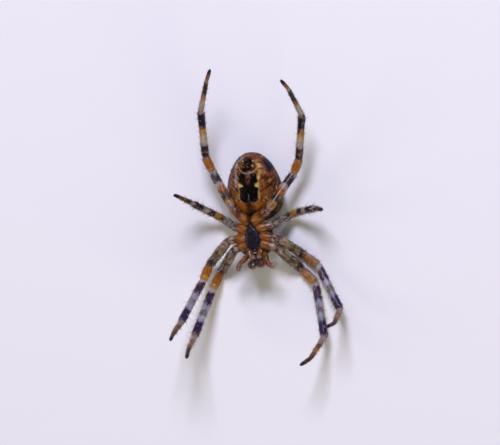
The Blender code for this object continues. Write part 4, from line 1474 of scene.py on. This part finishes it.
class SPIDER_OT_spinnerets(bpy.types.Operator):
    """Builds the spinnerets as separate cones on the belly"""

    bl_idname = "spider.spinnerets"
    bl_label = "Spinnerets"

    def execute(self, context):
        bm = joined([wrapped(form) for form in spinneret_forms(palette(context))])
        finish(bm, "spinneret_cones", [materials()["abdomen_cuticle"]], ["spinnerets"])
        return {"FINISHED"}


CLAWS = ((-0.045, 1.0), (0.0, 0.6), (0.045, 1.0))       # distance from the foot's middle, share of length
CLAW_RADII = (0.028, 0.024, 0.016, 0.004)
CLAW_CHART = (0.1, 0.1, 0.8, 0.8)
CLAW_ROOT = 0.06             # distance from a foot's tip at which its claws start


class SPIDER_OT_claws(bpy.types.Operator):
    """Builds two curved claws and a short middle one on each foot"""

    bl_idname = "spider.claws"
    bl_label = "Claws"

    def execute(self, context):
        parts = []
        for leg in legs():
            middle, run, back, flank = leg.frame_at(leg.total - CLAW_ROOT)
            for aside, reach in CLAWS:
                root = middle + flank * aside
                points = [root, root + (run * 0.09 + back * 0.02) * reach,
                          root + (run * 0.15 - back * 0.03) * reach, root + (run * 0.17 - back * 0.1) * reach]
                parts.append(wrapped(tube_form("claw", points, CLAW_RADII, lambda *_: (0, 0, 0, 1),
                                               CLAW_CHART, 8, 14)))
        finish(joined(parts), "claws", [materials()["claw_horn"]])
        return {"FINISHED"}


COAT_SEED = 11
CONE_CHART = (0.9, 0.65, 0.05, 0.05)         # where the spinnerets' hairs lie on the abdomen's unwrap


class SPIDER_OT_coat(bpy.types.Operator):
    """Plants the hairs and spines of the legs, the abdomen and the head"""

    bl_idname = "spider.coat"
    bl_label = "Coat"

    def execute(self, context):
        colours, sizes = palette(context), context.scene.spider_sizes
        fine, strong = seta_template(3), seta_template(5)
        forms = {form.name: form for form in skin_forms(colours)}
        dice = random.Random(COAT_SEED)

        def plant(hairs, name, template=fine):
            placed(coat_mesh(name, hairs, template), name, [materials()["seta"]])

        spines = []
        for side in SIDES:
            hairs = []
            for leg in legs():
                if leg.side == side:
                    form = forms[f"leg_{leg.pair}_{side}"]
                    hairs += leg_setae(leg, form, colours, sizes, dice)
                    spines += leg_spines(leg, form, colours, sizes, dice)
            hairs += body_setae(forms[f"palp_{side}"], 420, 0.2, colours, dice, lambda *_: True,
                                lean=(35.0, 60.0))
            hairs += palp_brush(forms[f"palp_{side}"], colours, dice)
            plant(hairs, f"hairs_legs_{side}")
        plant(spines, "spines_legs", strong)
        hairs = body_setae(forms["abdomen"], sizes.abdomen_hairs, 0.19, colours, dice,
                           lambda root, out: root.z > 0.15, paleness=0.28)
        for cone in spinneret_forms(colours):
            hairs += body_setae(cone._replace(plot=CONE_CHART), 45, 0.16, colours, dice,
                                lambda root, out: root.z > 3.9, lean=(20.0, 50.0))
        plant(hairs, "hairs_abdomen")
        hairs = body_setae(carapace_form(colours), sizes.head_hairs, 0.2, colours, dice,
                           lambda root, out: out.z < 0.3, paleness=0.9)
        hairs += body_setae(sternum_form(colours), 160, 0.14, colours, dice, lambda root, out: out.z > 0.6)
        for side in SIDES:
            hairs += body_setae(chelicera_form(side, colours), 170, 0.16, colours, dice,
                                lambda *_: True, lean=(35.0, 60.0), paleness=0.8)
            hairs += body_setae(maxilla_form(side, colours), 120, 0.13, colours, dice,
                                lambda root, out: out.z > 0.0 or out.y < -0.5, lean=(20.0, 50.0))
        plant(hairs, "hairs_head")
        return {"FINISHED"}


# Studio: the camera leans to the right of straight above and rolls a little
VIEW_LEAN = 14.0
VIEW_ROLL = 3.0
VIEW_CENTRE = (-0.95, -2.42, 4.0)        # middle of the view, in its right, up and towards directions
VIEW_SHIFT = Vector((0.0, -0.3, 0.0))    # of that middle, along the floor
VIEW_WIDTH = 47.5
CAMERA_DISTANCE = 900.0
AIR_COLOUR, AIR_STRENGTH = "#E6E8EE", 0.24
CARD_COLOUR, CARD_ROUGHNESS = "#E6E5E1", 0.9
FLOOR_HALF = 1.5                         # half width of the floor, in metres
LIGHTS = (                               # tilt from the camera, swing, distance, size, watts, colour
    ("key_softbox", 34.0, -14.0, 0.42, 0.13, 1.75, "#DEDDFF"),
    ("fill_softbox", 62.0, 150.0, 0.5, 0.3, 1.05, "#FFF3DC"),
    ("side_softbox", 72.0, -95.0, 0.5, 0.25, 0.55, "#FFEFE0"),
)


def view_axes():
    """Right, up and towards directions of the camera's view."""
    lean, roll = math.radians(VIEW_LEAN), math.radians(VIEW_ROLL)
    right = Vector((math.cos(roll) * math.cos(lean), -math.sin(roll), -math.cos(roll) * math.sin(lean)))
    above = Vector((math.sin(roll) * math.cos(lean), math.cos(roll), -math.sin(roll) * math.sin(lean)))
    return right, above, right.cross(above)


def make_camera(centre, right, above, towards):
    lens = bpy.data.cameras.new("camera")
    lens.sensor_width = 36.0
    lens.lens = lens.sensor_width * CAMERA_DISTANCE / VIEW_WIDTH
    lens.clip_start = 0.05
    camera = bpy.data.objects.new("camera", lens)
    bpy.context.scene.collection.objects.link(camera)
    turn = Matrix((right, above, towards)).transposed().to_4x4()
    camera.matrix_world = Matrix.Translation(centre + towards * CAMERA_DISTANCE * MM) @ turn
    bpy.context.scene.camera = camera


def make_floor():
    """Plain pale studio floor of matt card."""
    material = bpy.data.materials.new("matt_card")
    material.use_nodes = True
    shader = material.node_tree.nodes["Principled BSDF"]
    shader.inputs["Base Color"].default_value = (*linear(CARD_COLOUR), 1.0)
    shader.inputs["Roughness"].default_value = CARD_ROUGHNESS
    bm = bmesh.new()
    bmesh.ops.create_grid(bm, x_segments=1, y_segments=1, size=FLOOR_HALF)
    mesh = bpy.data.meshes.new("floor")
    bm.to_mesh(mesh)
    bm.free()
    mesh.materials.append(material)
    floor = bpy.data.objects.new("floor", mesh)
    bpy.context.scene.collection.objects.link(floor)


class SPIDER_OT_stage(bpy.types.Operator):
    """Sets the floor, the soft lights and the camera"""

    bl_idname = "spider.stage"
    bl_label = "Stage"

    def execute(self, context):
        make_floor()
        right, above, towards = view_axes()
        centre = (right * VIEW_CENTRE[0] + above * VIEW_CENTRE[1] + VIEW_SHIFT
                  + towards * VIEW_CENTRE[2]) * MM
        make_camera(centre, right, above, towards)
        for name, tilt, swing, distance, size, power, colour in LIGHTS:
            direction = (towards * math.cos(math.radians(tilt))
                         + (above * math.cos(math.radians(swing)) + right * math.sin(math.radians(swing)))
                         * math.sin(math.radians(tilt)))
            light = bpy.data.lights.new(name, "AREA")
            light.shape = "DISK"
            light.size = size
            light.energy = power
            light.color = linear(colour)
            lamp = bpy.data.objects.new(name, light)
            context.scene.collection.objects.link(lamp)
            lamp.location = centre + direction * distance
            lamp.rotation_euler = direction.to_track_quat("Z", "Y").to_euler()
        world = bpy.data.worlds.new("studio_air")
        world.use_nodes = True
        air = world.node_tree.nodes["Background"]
        air.inputs["Color"].default_value = (*linear(AIR_COLOUR), 1.0)
        air.inputs["Strength"].default_value = AIR_STRENGTH
        context.scene.world = world
        context.scene.view_settings.view_transform = "Standard"
        return {"FINISHED"}


class SPIDER_PT_panel(bpy.types.Panel):
    """Lists the spider's pieces in the sidebar"""

    bl_idname = "SPIDER_PT_panel"
    bl_label = "Orb weaver spider"
    bl_space_type = "VIEW_3D"
    bl_region_type = "UI"
    bl_category = "Spider"

    def draw(self, context):
        for operator in STEPS:
            self.layout.operator(operator.bl_idname)
        for group in (context.scene.spider_sizes, context.scene.spider_colours):
            column = self.layout.column()
            for name in group.__annotations__:
                column.prop(group, name)


STEPS = (SPIDER_OT_skin, SPIDER_OT_plates, SPIDER_OT_jaws, SPIDER_OT_eyes, SPIDER_OT_spinnerets,
         SPIDER_OT_claws, SPIDER_OT_coat, SPIDER_OT_stage)
CLASSES = (SpiderColours, SpiderSizes, *STEPS, SPIDER_PT_panel)


def register():
    for item in CLASSES:
        bpy.utils.register_class(item)
    bpy.types.Scene.spider_colours = PointerProperty(type=SpiderColours)
    bpy.types.Scene.spider_sizes = PointerProperty(type=SpiderSizes)


def unregister():
    del bpy.types.Scene.spider_colours
    del bpy.types.Scene.spider_sizes
    for item in reversed(CLASSES):
        bpy.utils.unregister_class(item)


def main():
    register()
    for operator in STEPS:
        group, name = operator.bl_idname.split(".")
        getattr(getattr(bpy.ops, group), name)()


if __name__ == "__main__":
    main()
